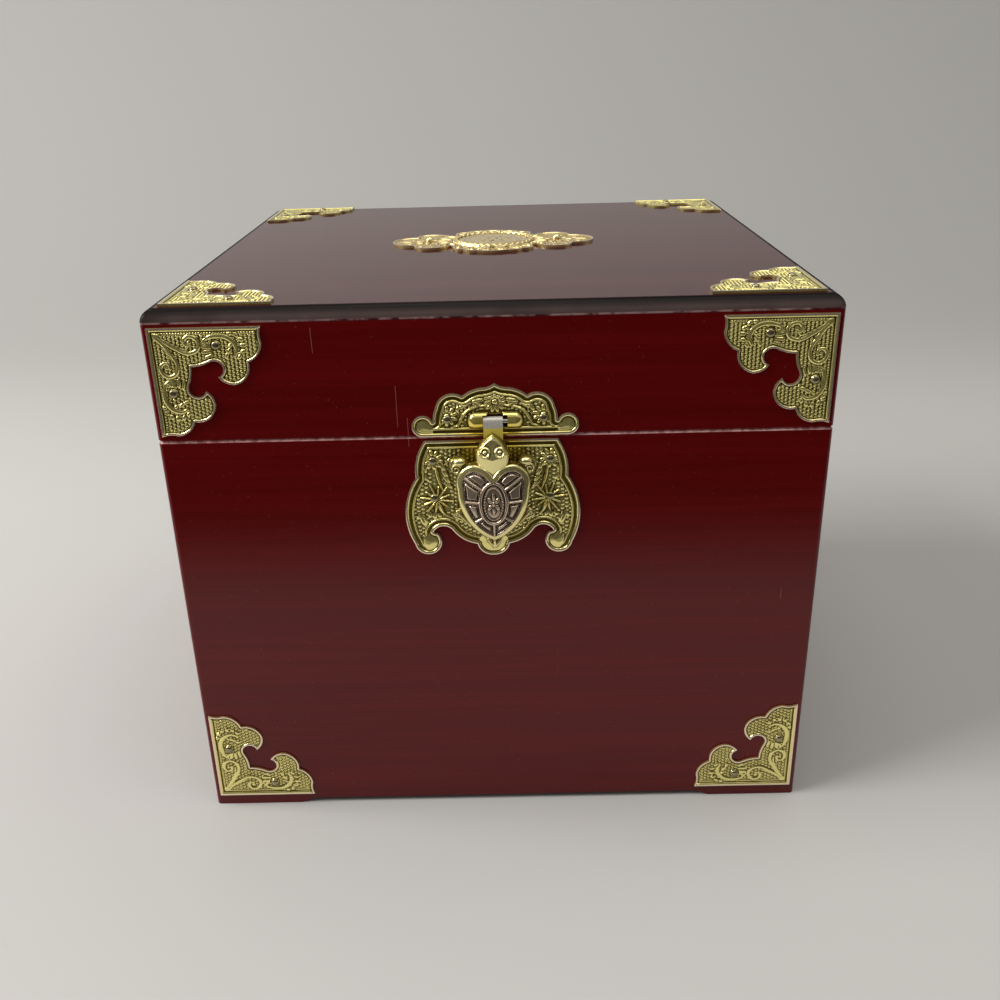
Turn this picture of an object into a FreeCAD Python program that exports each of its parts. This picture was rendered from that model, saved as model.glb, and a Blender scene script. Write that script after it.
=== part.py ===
import FreeCAD, Part
import math
import os
import re
import Sketcher

from FreeCAD import Placement, Rotation, Vector

# A lacquered wooden jewelry box with a hinged lid, brass corner plates, a turtle hasp and a
# lift-out tray. The frame is in millimetres: X to the right, Y to the back, Z up, with the
# origin on the floor under the middle of the box, and the front face at negative Y.

DOC = FreeCAD.newDocument("jewelry_box")
SHEET = DOC.addObject("Spreadsheet::Sheet", "Sizes")

# Driving dimensions: alias, value in millimetres or a count, and what it measures
SIZES = (
    ("box_width", 210, "outside width of the wood"),
    ("box_depth", 206, "outside depth of the wood"),
    ("box_height", 182.2, "floor to the top of the lid board"),
    ("lid_height", 41.4, "seam to the top of the lid board"),
    ("wall_thick", 12, "case walls and lid rails"),
    ("top_thick", 4.5, "lid board"),
    ("edge_round", 4, "rounded edge of the lid board"),
    ("corner_round", 1.5, "upright corner arrises"),
    ("seam_ease", 0.6, "small bevel each side of the seam"),
    ("foot_height", 2, "height of the arch between the feet"),
    ("foot_length", 31, "length of each bracket foot"),
    ("foot_slope", 5, "sloped end of the arch"),
    ("floor_rise", 4, "arch to the underside of the bottom panel"),
    ("floor_thick", 5, "bottom panel"),
    ("groove_depth", 5, "groove that holds the bottom panel"),
    ("groove_play", 0.2, "bottom panel to the end of its groove"),
    ("lining_thick", 1, "velvet glued on wood"),
    ("lining_reveal", 1, "lining of case and lid short of the seam"),
    ("floor_pad", 2, "velvet covered board on the floor of the well"),
    ("liner_thick", 3, "velvet covered boards that line the well"),
    ("liner_play", 0.2, "gap round the lining boards"),
    ("tray_play", 1, "tray to the lining round it"),
    ("tray_drop", 1, "tray rim below the seam"),
    ("tray_height", 34, "tray walls"),
    ("tray_wall", 4, "thickness of the tray walls"),
    ("tray_floor", 3, "tray bottom board"),
    ("tray_pad", 1.5, "velvet pads in the tray"),
    ("tray_split", 92, "inside depth of the tray's front row"),
    ("divider_thick", 3, "tray dividers"),
    ("divider_drop", 4, "divider tops below the tray rim"),
    ("bay_width", 62, "width of the bay beside the ring rolls"),
    ("cell_width", 56, "width of the two outer cells in the front row"),
    ("roll_count", 6, "ring rolls"),
    ("roll_gap", 0.8, "slot between two ring rolls"),
    ("roll_height", 17, "ring rolls above their pad"),
    ("tab_width", 14, "ribbon pull tabs"),
    ("tab_thick", 1, "ribbon pull tabs"),
    ("tab_rise", 8, "ribbon above the tray rim"),
    ("tab_depth", 18, "ribbon glued below the tray rim"),
    ("mirror_width", 142, "mirror glass"),
    ("mirror_depth", 138, "mirror glass"),
    ("mirror_thick", 2, "mirror glass"),
    ("mirror_lip", 5, "frame over the edge of the glass"),
    ("frame_thick", 4.5, "padded frame that holds the mirror"),
    ("frame_play", 0.3, "frame to the lining round it"),
    ("plate_arm", 34.3, "arm of a corner plate"),
    ("plate_thick", 1, "stamped brass plates"),
    ("plate_rim", 1.1, "raised rim of the plates"),
    ("field_depth", 0.35, "stamped field below the rim"),
    ("plate_side", 2, "corner plate in from the side of the box"),
    ("plate_rise", 4.4, "case corner plate up from the floor"),
    ("plate_drop", 5.2, "lid corner plate down from the top"),
    ("plate_top_inset", 4.8, "top corner plate in from each edge"),
    ("nail_along", 20.3, "plate nail along one arm"),
    ("nail_across", 5.5, "plate nail across that arm"),
    ("nail_radius", 0.6, "nail shank"),
    ("nail_head", 1.4, "radius of a nail head"),
    ("nail_dome", 0.8, "height of a nail head"),
    ("nail_depth", 3.3, "nail into the wood"),
    ("nail_play", 0.05, "hole round a nail"),
    ("medal_width", 77, "lid medallion"),
    ("medal_depth", 46, "lid medallion"),
    ("medal_disc", 14.5, "radius of the raised disc"),
    ("medal_rise", 1.4, "crown of the disc above the plate"),
    ("medal_stud", 24.4, "ball stud from the middle of the medallion"),
    ("stud_ball", 1.6, "radius of a ball stud"),
    ("upper_width", 51.6, "upper latch plate"),
    ("upper_height", 16.8, "upper latch plate"),
    ("upper_shift", 0.2, "upper latch plate to the right of the middle"),
    ("upper_gap", 0.1, "upper latch plate above the seam"),
    ("upper_nail_out", 14.8, "upper plate nail from its middle"),
    ("upper_nail_up", 5.6, "upper plate nail above its lower edge"),
    ("lower_width", 55.8, "lower latch plate"),
    ("lower_height", 39.7, "lower latch plate"),
    ("lower_shift", -1.3, "lower latch plate to the right of the middle"),
    ("lower_gap", 1.3, "lower latch plate below the seam"),
    ("lower_nail_out", 18.4, "lower plate nail from its middle"),
    ("lower_nail_high", 6.6, "upper pair of nails below the plate's top edge"),
    ("lower_nail_low", 19.2, "lower pair of nails below the plate's top edge"),
    ("window_width", 7.6, "window for the hasp"),
    ("window_height", 4.2, "window for the hasp"),
    ("pin_rise", 4.9, "hasp pin above the seam"),
    ("pin_out", 0.9, "hasp pin in front of the wood"),
    ("pin_radius", 0.7, "hasp pin"),
    ("pin_length", 15, "hasp pin"),
    ("pin_end_play", 0.2, "room beyond each end of the hasp pin"),
    ("pin_play", 0.05, "running clearance of the hasp pin"),
    ("barrel_radius", 1.5, "rolled eye of the hasp strap"),
    ("tunnel_length", 4.5, "embossed tunnel each side of the window"),
    ("recess_depth", 1.2, "recess in the rail behind the eye"),
    ("recess_play", 0.4, "recess above and below the eye"),
    ("hasp_shift", -0.9, "turtle and its stud to the right of the middle"),
    ("strap_shift", -0.5, "strap to the right of the middle"),
    ("hasp_open", 100, "hasp swing in degrees"),
    ("strap_width", 6, "hasp strap"),
    ("strap_thick", 0.9, "hasp strap"),
    ("strap_drop", 8, "lower end of the strap below the seam"),
    ("shell_width", 22.8, "turtle shell"),
    ("shell_height", 26.5, "turtle shell"),
    ("shell_drop", 8, "top of the shell below the seam"),
    ("shell_back", 1.7, "back of the shell in front of the wood"),
    ("shell_crown", 5.4, "height of the shell's dome"),
    ("dome_margin", 3.3, "edge of the dome outside the shell's outline"),
    ("dome_drop", 12.2, "crown of the dome below the top of the shell"),
    ("shell_rim", 1.9, "polished rim round the inlay"),
    ("inlay_thick", 0.8, "inlaid scute plate"),
    ("inlay_proud", 0.15, "inlay above the casting"),
    ("casting_wall", 1.1, "casting over its hollow"),
    ("head_width", 10.4, "turtle head"),
    ("head_height", 13.4, "turtle head"),
    ("head_rise", 2.7, "snout above the seam"),
    ("head_crown", 3, "height of the head over the strap"),
    ("head_margin", 2, "edge of the head's dome outside its outline"),
    ("limb_thick", 1.2, "flippers, legs and tail"),
    ("tail_length", 5.2, "tail below the shell"),
    ("tail_width", 3.6, "tail at its root"),
    ("tail_root", 2, "tail let into the shell"),
    ("tail_lift", 0.9, "back of the tail in front of the back of the shell"),
    ("stud_drop", 22.8, "catch stud below the seam"),
    ("stud_radius", 1.5, "catch stud"),
    ("stud_reach", 3, "catch stud in front of the wood"),
    ("stud_shank", 1, "radius of the stud's shank in the wood"),
    ("stud_depth", 6, "stud shank into the wood"),
    ("stud_nose", 0.5, "height of the stud's rounded tip"),
    ("slot_play", 0.4, "slot in the casting to the stud, each side"),
    ("clip_play", 0.05, "spring tines to the stud, each side"),
    ("clip_wire", 2.4, "width of a spring tine"),
    ("clip_thick", 0.6, "spring clip"),
    ("clip_gap", 0.1, "clip in front of the back of the shell"),
    ("clip_below", 4.8, "spring tines below the stud's middle"),
    ("clip_above", 4.8, "spring tines above the stud's middle"),
    ("clip_bridge", 3.6, "solid end of the clip"),
    ("post_radius", 1.2, "post in the casting that the clip is riveted to"),
    ("hinge_spread", 124, "middle of one hinge to the middle of the other"),
    ("hinge_width", 30, "hinge leaves"),
    ("hinge_leaf", 16, "height of one leaf from the pin"),
    ("leaf_thick", 1, "hinge leaves"),
    ("leaf_round", 3, "outer corners of the leaves"),
    ("knuckle_radius", 2.2, "hinge knuckles"),
    ("knuckle_clear", 0.15, "knuckle to the back of the box"),
    ("knuckle_gap", 0.2, "gap between two knuckles"),
    ("middle_knuckle", 10, "length of the lid's knuckle"),
    ("notch_clear", 0.4, "leaf to the other leaf's knuckle"),
    ("hinge_pin", 0.95, "radius of the hinge pin"),
    ("hinge_play", 0.05, "running clearance of the hinge pin"),
    ("heel_length", 5.6, "stop heel from the pin's axis"),
    ("heel_thick", 1.2, "stop heel"),
    ("heel_clear", 0.05, "heel to the case leaf when the lid is open"),
    ("lid_open", 100, "lid swing in degrees"),
    ("screw_out", 9.5, "hinge screw from the middle of its leaf"),
    ("screw_rise", 10, "hinge screw from the pin's height"),
    ("screw_depth", 7, "hinge screw into the wood"),
    ("screw_radius", 1, "hinge screw"),
    ("screw_head", 1.9, "radius of a hinge screw's head"),
    ("screw_dome", 1, "height of a hinge screw's head"),
)

for row, (alias, amount, meaning) in enumerate(SIZES, start=1):
    SHEET.set(f"A{row}", meaning)
    SHEET.set(f"B{row}", str(amount))
    SHEET.setAlias(f"B{row}", alias)
DOC.recompute()

ALIASES = {alias for alias, amount, meaning in SIZES}
PIECES = []


# Sizes and expressions

def on_sheet(text):
    """Turn words such as box_width in an expression into references to the sheet's cells."""
    def reference(match):
        word = match.group()
        return f"Sizes.{word}" if word in ALIASES else word
    return re.sub(r"[a-z]+(?:_[a-z]+)*", reference, text)


def amount_of(text):
    """The value of an expression on the sheet, as a plain number."""
    return float(SHEET.evalExpression(on_sheet(text)))


def bind(item, **expressions):
    """Bind properties of an object to expressions on the sheet."""
    for name, text in expressions.items():
        item.setExpression(name, on_sheet(text))


def place(item, x="0", y="0", z="0", turn=None):
    """Bind an object's position to expressions, after a fixed turn."""
    if turn is not None:
        item.Placement = Placement(Vector(), turn)
    item.setExpression("Placement.Base.x", on_sheet(x))
    item.setExpression("Placement.Base.y", on_sheet(y))
    item.setExpression("Placement.Base.z", on_sheet(z))


# Places that several pieces share, as expressions on the sheet
SEAM = "(box_height - lid_height)"
FRONT = "(-box_depth / 2)"
BACK = "(box_depth / 2)"
RAIL_TOP = "(box_height - top_thick)"
INNER_WIDTH = "(box_width - 2 * wall_thick)"
INNER_DEPTH = "(box_depth - 2 * wall_thick)"
FLOOR_TOP = "(foot_height + floor_rise + floor_thick)"
PAD_TOP = f"({FLOOR_TOP} + floor_pad)"
TRAY_TOP = f"({SEAM} - tray_drop)"
TRAY_BASE = f"({TRAY_TOP} - tray_height)"
TRAY_WIDTH = f"({INNER_WIDTH} - 2 * lining_thick - 2 * tray_play)"
TRAY_DEPTH = f"({INNER_DEPTH} - 2 * lining_thick - 2 * tray_play)"
HINGE_Y = f"({BACK} + knuckle_radius + knuckle_clear)"
PIN_Y = f"({FRONT} - pin_out)"
PIN_Z = f"({SEAM} + pin_rise)"
PLATE_FACE = f"({FRONT} - plate_thick)"
SHELL_TOP = f"({SEAM} - shell_drop)"
STUD_Z = f"({SEAM} - stud_drop)"

# Turns that point a fastener's or plate's own Z axis out of a face of the box
OUT_OF_FRONT = Rotation(Vector(1, 0, 0), 90)
OUT_OF_BACK = Rotation(Vector(1, 0, 0), -90)
OUT_OF_TOP = Rotation()
ALONG_X = Rotation(Vector(0, 1, 0), 90)


# Pieces and simple solids

def piece(item, label):
    """Register a finished object as one piece of the box."""
    item.Label = label
    PIECES.append(item)
    return item


def board(name, left, right, front, back, low, high):
    """A rectangular block between six faces, each given as an expression."""
    block = DOC.addObject("Part::Box", name)
    bind(
        block,
        Length=f"{right} - ({left})",
        Width=f"{back} - ({front})",
        Height=f"{high} - ({low})",
    )
    place(block, left, front, low)
    return block


def rod(name, radius, length, x, y, z, turn):
    """A round bar that starts at a point and runs along its own turned Z axis."""
    bar = DOC.addObject("Part::Cylinder", name)
    bind(bar, Radius=radius, Height=length)
    place(bar, x, y, z, turn)
    return bar


def egg(name, across, along, height, x, y, z, turn=OUT_OF_FRONT):
    """An ellipsoid with its height along its own turned Z axis."""
    solid = DOC.addObject("Part::Ellipsoid", name)
    solid.Angle1 = -90
    solid.Angle2 = 90
    bind(solid, Radius1=height, Radius2=across, Radius3=along)
    place(solid, x, y, z, turn)
    return solid


def cut(name, base, tool):
    """One solid less another."""
    result = DOC.addObject("Part::Cut", name)
    result.Base = base
    result.Tool = tool
    return result


def common(name, base, tool):
    """What two solids share."""
    result = DOC.addObject("Part::Common", name)
    result.Base = base
    result.Tool = tool
    return result


def joined(name, shapes):
    """Several overlapping solids made one."""
    result = DOC.addObject("Part::MultiFuse", name)
    result.Shapes = shapes
    return result


def group(name, members):
    """Several separate solids kept together."""
    result = DOC.addObject("Part::Compound", name)
    result.Links = members
    return result


# Sketches

def new_body(name):
    """An empty PartDesign body."""
    return DOC.addObject("PartDesign::Body", name)


def new_sketch(body, plane, offset="0"):
    """A sketch on one of a body's own planes, moved along that plane's normal."""
    sketch = body.newObject("Sketcher::SketchObject", f"{body.Name}_sketch")
    support = next(item for item in body.Origin.OriginFeatures if item.Role == plane)
    sketch.AttachmentSupport = [(support, "")]
    sketch.MapMode = "FlatFace"
    sketch.setExpression("AttachmentOffset.Base.z", on_sheet(offset))
    return sketch


def draw_rectangle(sketch, left, right, low, high):
    """A rectangle whose four sides are dimensioned from the sketch's origin."""
    x0, x1, y0, y1 = (amount_of(text) for text in (left, right, low, high))
    corners = [Vector(x0, y0, 0), Vector(x1, y0, 0), Vector(x1, y1, 0), Vector(x0, y1, 0)]
    first = sketch.GeometryCount
    for number in range(4):
        sketch.addGeometry(Part.LineSegment(corners[number], corners[(number + 1) % 4]), False)
    for number in range(4):
        following = first + (number + 1) % 4
        sketch.addConstraint(Sketcher.Constraint("Coincident", first + number, 2, following, 1))
    for number in (0, 2):
        sketch.addConstraint(Sketcher.Constraint("Horizontal", first + number))
    for number in (1, 3):
        sketch.addConstraint(Sketcher.Constraint("Vertical", first + number))
    dimensions = (
        ("DistanceX", 0, left, x0),
        ("DistanceY", 0, low, y0),
        ("DistanceX", 2, right, x1),
        ("DistanceY", 2, high, y1),
    )
    for kind, line, text, length in dimensions:
        rule = Sketcher.Constraint(kind, -1, 1, first + line, 1, length)
        number = sketch.addConstraint(rule)
        sketch.setExpression(f"Constraints[{number}]", on_sheet(text))


def draw_outline(sketch, outline):
    """An outline of straight and round stretches, each given by two or three points."""
    for stretch in outline:
        sketch.addGeometry(stretch_curve(stretch), False)


def stretch_curve(stretch):
    """The line or arc through the two or three points of one stretch."""
    points = [Vector(x, y, 0) for x, y in stretch]
    if len(points) == 2:
        return Part.LineSegment(*points)
    return Part.Arc(*points)


def inset_curves(outline, distance):
    """The curves of an outline moved inwards by a distance."""
    wire = Part.Wire([stretch_curve(stretch).toShape() for stretch in outline])
    inner = wire.makeOffset2D(-distance)
    curves = []
    for edge in inner.Edges:
        if isinstance(edge.Curve, Part.Line):
            curves.append(Part.LineSegment(edge.Vertexes[0].Point, edge.Vertexes[-1].Point))
        else:
            curves.append(Part.ArcOfCircle(edge.Curve, *edge.ParameterRange))
    return curves


def traced(start, steps):
    """Stretches from a start, each step giving an end or a middle and an end."""
    stretches = []
    here = start
    for step in steps:
        stretches.append((here, *step))
        here = step[-1]
    return stretches


def with_mirror(half, mirror):
    """Half of an outline, followed by its mirror image from the far end back."""
    rest = [tuple(mirror(point) for point in reversed(stretch)) for stretch in reversed(half)]
    return half + rest


def left_for_right(point):
    """A point mirrored in the upright middle line."""
    return (-point[0], point[1])


def back_for_front(point):
    """A point mirrored in the level middle line."""
    return (point[0], -point[1])


def across_diagonal(point):
    """A point mirrored in the diagonal of a corner."""
    return (point[1], point[0])


def stretched(outline, across, along, shift=(0, 0)):
    """An outline scaled to its real size and moved."""
    return [
        tuple((x * across + shift[0], y * along + shift[1]) for x, y in stretch)
        for stretch in outline
    ]


def scale_to(outline, width, height):
    """How much an outline grows across and along to reach its width and height on the sheet."""
    xs = [x for stretch in outline for x, y in stretch]
    ys = [y for stretch in outline for x, y in stretch]
    return amount_of(width) / (max(xs) - min(xs)), amount_of(height) / (max(ys) - min(ys))


def pad(body, sketch, length, name="pad"):
    """A pad of a sketch by a bound length along the sketch's normal."""
    feature = body.newObject("PartDesign::Pad", f"{body.Name}_{name}")
    feature.Profile = sketch
    bind(feature, Length=length)
    DOC.recompute()
    return feature


def pocket(body, sketch, length, backwards=False, through=False):
    """A pocket of a sketch, against its normal unless it is told otherwise."""
    feature = body.newObject("PartDesign::Pocket", f"{body.Name}_pocket")
    feature.Profile = sketch
    feature.Reversed = backwards
    if through:
        feature.Midplane = True
    before = body.Shape.Volume
    bind(feature, Length=length)
    DOC.recompute()
    if not feature.Shape.Volume < before:
        raise RuntimeError(f"{feature.Name} cuts nothing")
    return feature


def picked(shape, wanted):
    """The names of the edges of a shape that pass a test."""
    return [f"Edge{n}" for n, edge in enumerate(shape.Edges, start=1) if wanted(edge)]


def upright(edge):
    """Whether an edge runs straight up."""
    return isinstance(edge.Curve, Part.Line) and abs(edge.tangentAt(edge.FirstParameter).z) > 0.99


def dress(body, kind, base, edges, **sizes):
    """A fillet or chamfer of named edges with a bound size."""
    feature = body.newObject(kind, f"{body.Name}_{kind.split('::')[1].lower()}")
    feature.Base = (base, edges)
    bind(feature, **sizes)
    DOC.recompute()
    return feature


# Outlines in millimetres at their drawn size, each with only the points its shape needs.
# Corner plate: the corner is at the origin and the arms run along X and Y.
CORNER_PLATE = with_mirror(
    traced(
        (0, 0),
        [
            ((34.3, 0),),
            ((33.7, 2.4), (34.0, 5.0)),
            ((32.7, 8.6), (29.5, 10.9)),
            ((28.9, 14.9), (24.6, 17.9)),
            ((21.9, 17.3), (19.8, 15.4)),
            ((21.65, 12.6), (17.8, 10.6)),
            ((15.2, 11.6), (12.0, 12.0)),
        ],
    ),
    across_diagonal,
)

# Upper latch plate: the lower edge is at Y zero, from the peak round the right side
UPPER_PLATE = with_mirror(
    traced(
        (0, 16.8),
        [
            ((1.5, 15.9), (3.6, 15.4)),
            ((7.2, 14.6), (10.0, 12.9)),
            ((15.2, 13.3), (18.4, 9.2)),
            ((19.1, 7.0), (19.3, 4.7)),
            ((25.8, 3.6), (22.4, 0)),
            ((0, 0),),
        ],
    ),
    left_for_right,
)

# Lower latch plate: the upper edge is at Y zero, from its middle round the right side
LOWER_PLATE = with_mirror(
    traced(
        (0, 0),
        [
            ((20.8, 0),),
            ((23.4, -5.4), (24.0, -12.4)),
            ((27.9, -24.6), (25.4, -35.4)),
            ((17.4, -37.0), (18.0, -31.7)),
            ((19.0, -31.6), (19.4, -31.3)),
            ((16.6, -29.2), (13.2, -30.4)),
            ((9.6, -34.0), (5.2, -35.7)),
            ((3.7, -38.4), (0, -39.7)),
        ],
    ),
    left_for_right,
)

# Medallion: a scalloped middle between two flower wings, from the back middle to the front
MEDALLION_QUARTER = traced(
    (0, 23.0),
    [
        ((3.1, 22.4), (5.9, 21.4)),
        ((8.7, 20.9), (10.9, 18.6)),
        ((14.0, 17.4), (14.9, 14.2)),
        ((14.8, 11.4), (16.2, 9.2)),
        ((19.2, 13.4), (24.0, 14.9)),
        ((28.2, 13.2), (29.8, 8.6)),
        ((35.0, 7.0), (38.5, 0)),
    ],
)
MEDALLION = with_mirror(with_mirror(MEDALLION_QUARTER, back_for_front), left_for_right)

# Turtle shell: a heart, from the notch between its upper lobes round the right side
SHELL = with_mirror(
    traced(
        (0, -3.6),
        [
            ((2.6, -0.9), (6.2, 0)),
            ((10.4, -2.4), (11.4, -8.4)),
            ((9.0, -18.0), (0, -26.5)),
        ],
    ),
    left_for_right,
)

# Turtle head from its snout
HEAD = with_mirror(
    traced(
        (0, 0),
        [
            ((3.1, -2.4), (5.2, -6.4)),
            ((4.3, -10.2), (0, -13.4)),
        ],
    ),
    left_for_right,
)

# The tail's width halfway along it, as a share of its width at the root
TAIL_TAPER = 0.7

# Flipper and leg of the turtle's right side, measured from the top of the shell
FLIPPER = [
    ((7.6, -1.6), (8.7, 1.6), (11.2, 2.0)),
    ((11.2, 2.0), (13.2, 0.6), (12.9, -1.8)),
    ((12.9, -1.8), (12.0, -2.9), (9.4, -4.4)),
    ((9.4, -4.4), (7.6, -1.6)),
]
LEG = [
    ((6.0, -18.0), (11.9, -19.2)),
    ((11.9, -19.2), (12.9, -18.6), (12.6, -17.2)),
    ((12.6, -17.2), (12.0, -16.0), (10.8, -15.6)),
    ((10.8, -15.6), (6.0, -13.0)),
    ((6.0, -13.0), (6.0, -18.0)),
]


# Wood

def case_form():
    """The outer form of the case, which the four case walls share."""
    body = new_body("case_form")
    plan = new_sketch(body, "XY_Plane")
    draw_rectangle(plan, "-box_width / 2", "box_width / 2", FRONT, BACK)
    block = pad(body, plan, SEAM)
    rounded = dress(
        body, "PartDesign::Fillet", block, picked(block.Shape, upright), Radius="corner_round"
    )
    seam = amount_of(SEAM)
    rim = picked(rounded.Shape, lambda edge: abs(edge.BoundBox.ZMin - seam) < 1e-6)
    dress(body, "PartDesign::Chamfer", rounded, rim, Size="seam_ease")
    for plane, extent, through in (
        ("XZ_Plane", "box_width", "box_depth"),
        ("YZ_Plane", "box_depth", "box_width"),
    ):
        arch = new_sketch(body, plane)
        foot = amount_of(f"{extent} / 2 - foot_length")
        crown = amount_of(f"{extent} / 2 - foot_length - foot_slope")
        height = amount_of("foot_height")
        corners = [(-foot, 0), (foot, 0), (crown, height), (-crown, height)]
        draw_outline(arch, [(corners[n], corners[(n + 1) % 4]) for n in range(4)])
        pocket(body, arch, f"2 * {through}", through=True)
    return body


def lid_form():
    """The outer form of the lid, which its board and its four rails share."""
    body = new_body("lid_form")
    plan = new_sketch(body, "XY_Plane", SEAM)
    draw_rectangle(plan, "-box_width / 2", "box_width / 2", FRONT, BACK)
    block = pad(body, plan, "lid_height")
    top = amount_of("box_height")
    seam = amount_of(SEAM)
    upper = picked(block.Shape, lambda edge: abs(edge.BoundBox.ZMin - top) < 1e-6)
    softened = dress(body, "PartDesign::Fillet", block, upper, Radius="edge_round")
    rounded = dress(
        body, "PartDesign::Fillet", softened, picked(softened.Shape, upright),
        Radius="corner_round",
    )
    lower = picked(rounded.Shape, lambda edge: abs(edge.BoundBox.ZMax - seam) < 1e-6)
    dress(body, "PartDesign::Chamfer", rounded, lower, Size="seam_ease")
    return body


# Each wall's name, how its plank is turned, and where the middle of its outer face lies
WALL_SIDES = (
    ("front", 0, "box_width", "0", FRONT),
    ("right", 90, "box_depth", "box_width / 2", "0"),
    ("back", 180, "box_width", "0", BACK),
    ("left", -90, "box_depth", "-box_width / 2", "0"),
)


def mitred_plank(name, length, low, high, x, y, turn):
    """A plank with both ends mitred, its outer face on the outside of the box."""
    plank = DOC.addObject("Part::Wedge", name)
    bind(
        plank,
        Xmin=f"-{length} / 2",
        Xmax=f"{length} / 2",
        X2min=f"wall_thick - {length} / 2",
        X2max=f"{length} / 2 - wall_thick",
        Ymax="wall_thick",
        Zmax=f"{high} - ({low})",
        Z2max=f"{high} - ({low})",
    )
    for edge in ("Ymin", "Zmin", "Z2min"):
        setattr(plank, edge, 0)
    place(plank, x, y, low, Rotation(Vector(0, 0, 1), turn))
    return plank


def walls(form, suffix, low, high):
    """The four mitred walls of the case or the lid, cut to its outer form."""
    made = {}
    for side, turn, length, x, y in WALL_SIDES:
        plank = mitred_plank(f"{side}_{suffix}_plank", length, low, high, x, y, turn)
        made[side] = common(f"{side}_{suffix}_wall", plank, form)
    return made


def make_case(drills):
    """The case: four mitred walls and a bottom panel held in their grooves."""
    made = walls(case_form(), "case", "0", SEAM)
    half_width = f"({INNER_WIDTH} / 2 + groove_depth)"
    half_depth = f"({INNER_DEPTH} / 2 + groove_depth)"
    groove = board(
        "floor_groove", f"-{half_width}", half_width, f"-{half_depth}", half_depth,
        "foot_height + floor_rise", FLOOR_TOP,
    )
    for side in ("left", "right"):
        piece(cut(f"{side}_panel", made[side], groove), f"{side}_panel")
    for side in ("front", "back"):
        grooved = cut(f"{side}_grooved", made[side], groove)
        piece(cut(f"{side}_panel", grooved, drills[f"case_{side}"]), f"{side}_panel")
    panel = board(
        "bottom_panel", f"-{half_width} + groove_play", f"{half_width} - groove_play",
        f"-{half_depth} + groove_play", f"{half_depth} - groove_play",
        "foot_height + floor_rise", FLOOR_TOP,
    )
    piece(panel, "bottom_panel")


def make_lid(drills):
    """The lid: four mitred rails under a board with a rounded edge."""
    form = lid_form()
    made = walls(form, "lid", SEAM, RAIL_TOP)
    half_length = "(pin_length / 2 + pin_end_play)"
    half_height = "(barrel_radius + recess_play)"
    recess = board(
        "hasp_recess", f"upper_shift - {half_length}", f"upper_shift + {half_length}",
        FRONT, f"{FRONT} + recess_depth", f"{PIN_Z} - {half_height}", f"{PIN_Z} + {half_height}",
    )
    front = cut("front_rail_recessed", made["front"], recess)
    piece(cut("lid_front_rail", front, drills["lid_front"]), "lid_front_rail")
    piece(cut("lid_back_rail", made["back"], drills["lid_back"]), "lid_back_rail")
    for side in ("left", "right"):
        piece(made[side], f"lid_{side}_rail")
    slab = board(
        "lid_slab", "-box_width / 2", "box_width / 2", FRONT, BACK, RAIL_TOP, "box_height"
    )
    blank = common("lid_board_blank", slab, form)
    piece(cut("lid_top_board", blank, drills["lid_top"]), "lid_top_board")


# Linings

def ring(name, half_width, half_depth, thick, low, high):
    """A four-sided lining strip, drawn as an outer and an inner rectangle."""
    body = new_body(name)
    plan = new_sketch(body, "XY_Plane", low)
    draw_rectangle(plan, f"-{half_width}", half_width, f"-{half_depth}", half_depth)
    draw_rectangle(
        plan, f"-{half_width} + {thick}", f"{half_width} - {thick}",
        f"-{half_depth} + {thick}", f"{half_depth} - {thick}",
    )
    pad(body, plan, f"{high} - {low}")
    return body


def make_linings():
    """Velvet over the floor and walls of the well, and round the rim of case and lid."""
    half_width = f"({INNER_WIDTH} / 2 - liner_play)"
    half_depth = f"({INNER_DEPTH} / 2 - liner_play)"
    floor = board(
        "floor_lining", f"-{half_width}", half_width, f"-{half_depth}", half_depth,
        FLOOR_TOP, PAD_TOP,
    )
    piece(floor, "floor_lining")
    inner_depth = f"({half_depth} - liner_thick)"
    liners = (
        ("front_liner", f"-{half_width}", half_width, f"-{half_depth}", f"-{inner_depth}"),
        ("back_liner", f"-{half_width}", half_width, inner_depth, half_depth),
        ("left_liner", f"-{half_width}", f"-{half_width} + liner_thick",
         f"-{inner_depth}", inner_depth),
        ("right_liner", f"{half_width} - liner_thick", half_width,
         f"-{inner_depth}", inner_depth),
    )
    for name, left, right, front, back in liners:
        piece(board(name, left, right, front, back, PAD_TOP, TRAY_BASE), name)
    inner = (f"({INNER_WIDTH} / 2)", f"({INNER_DEPTH} / 2)", "lining_thick")
    rim = ring("case_rim_lining", *inner, TRAY_BASE, f"({SEAM} - lining_reveal)")
    piece(rim, "case_rim_lining")
    skirt = ring("lid_side_lining", *inner, f"({SEAM} + lining_reveal)", RAIL_TOP)
    piece(skirt, "lid_side_lining")


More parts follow.
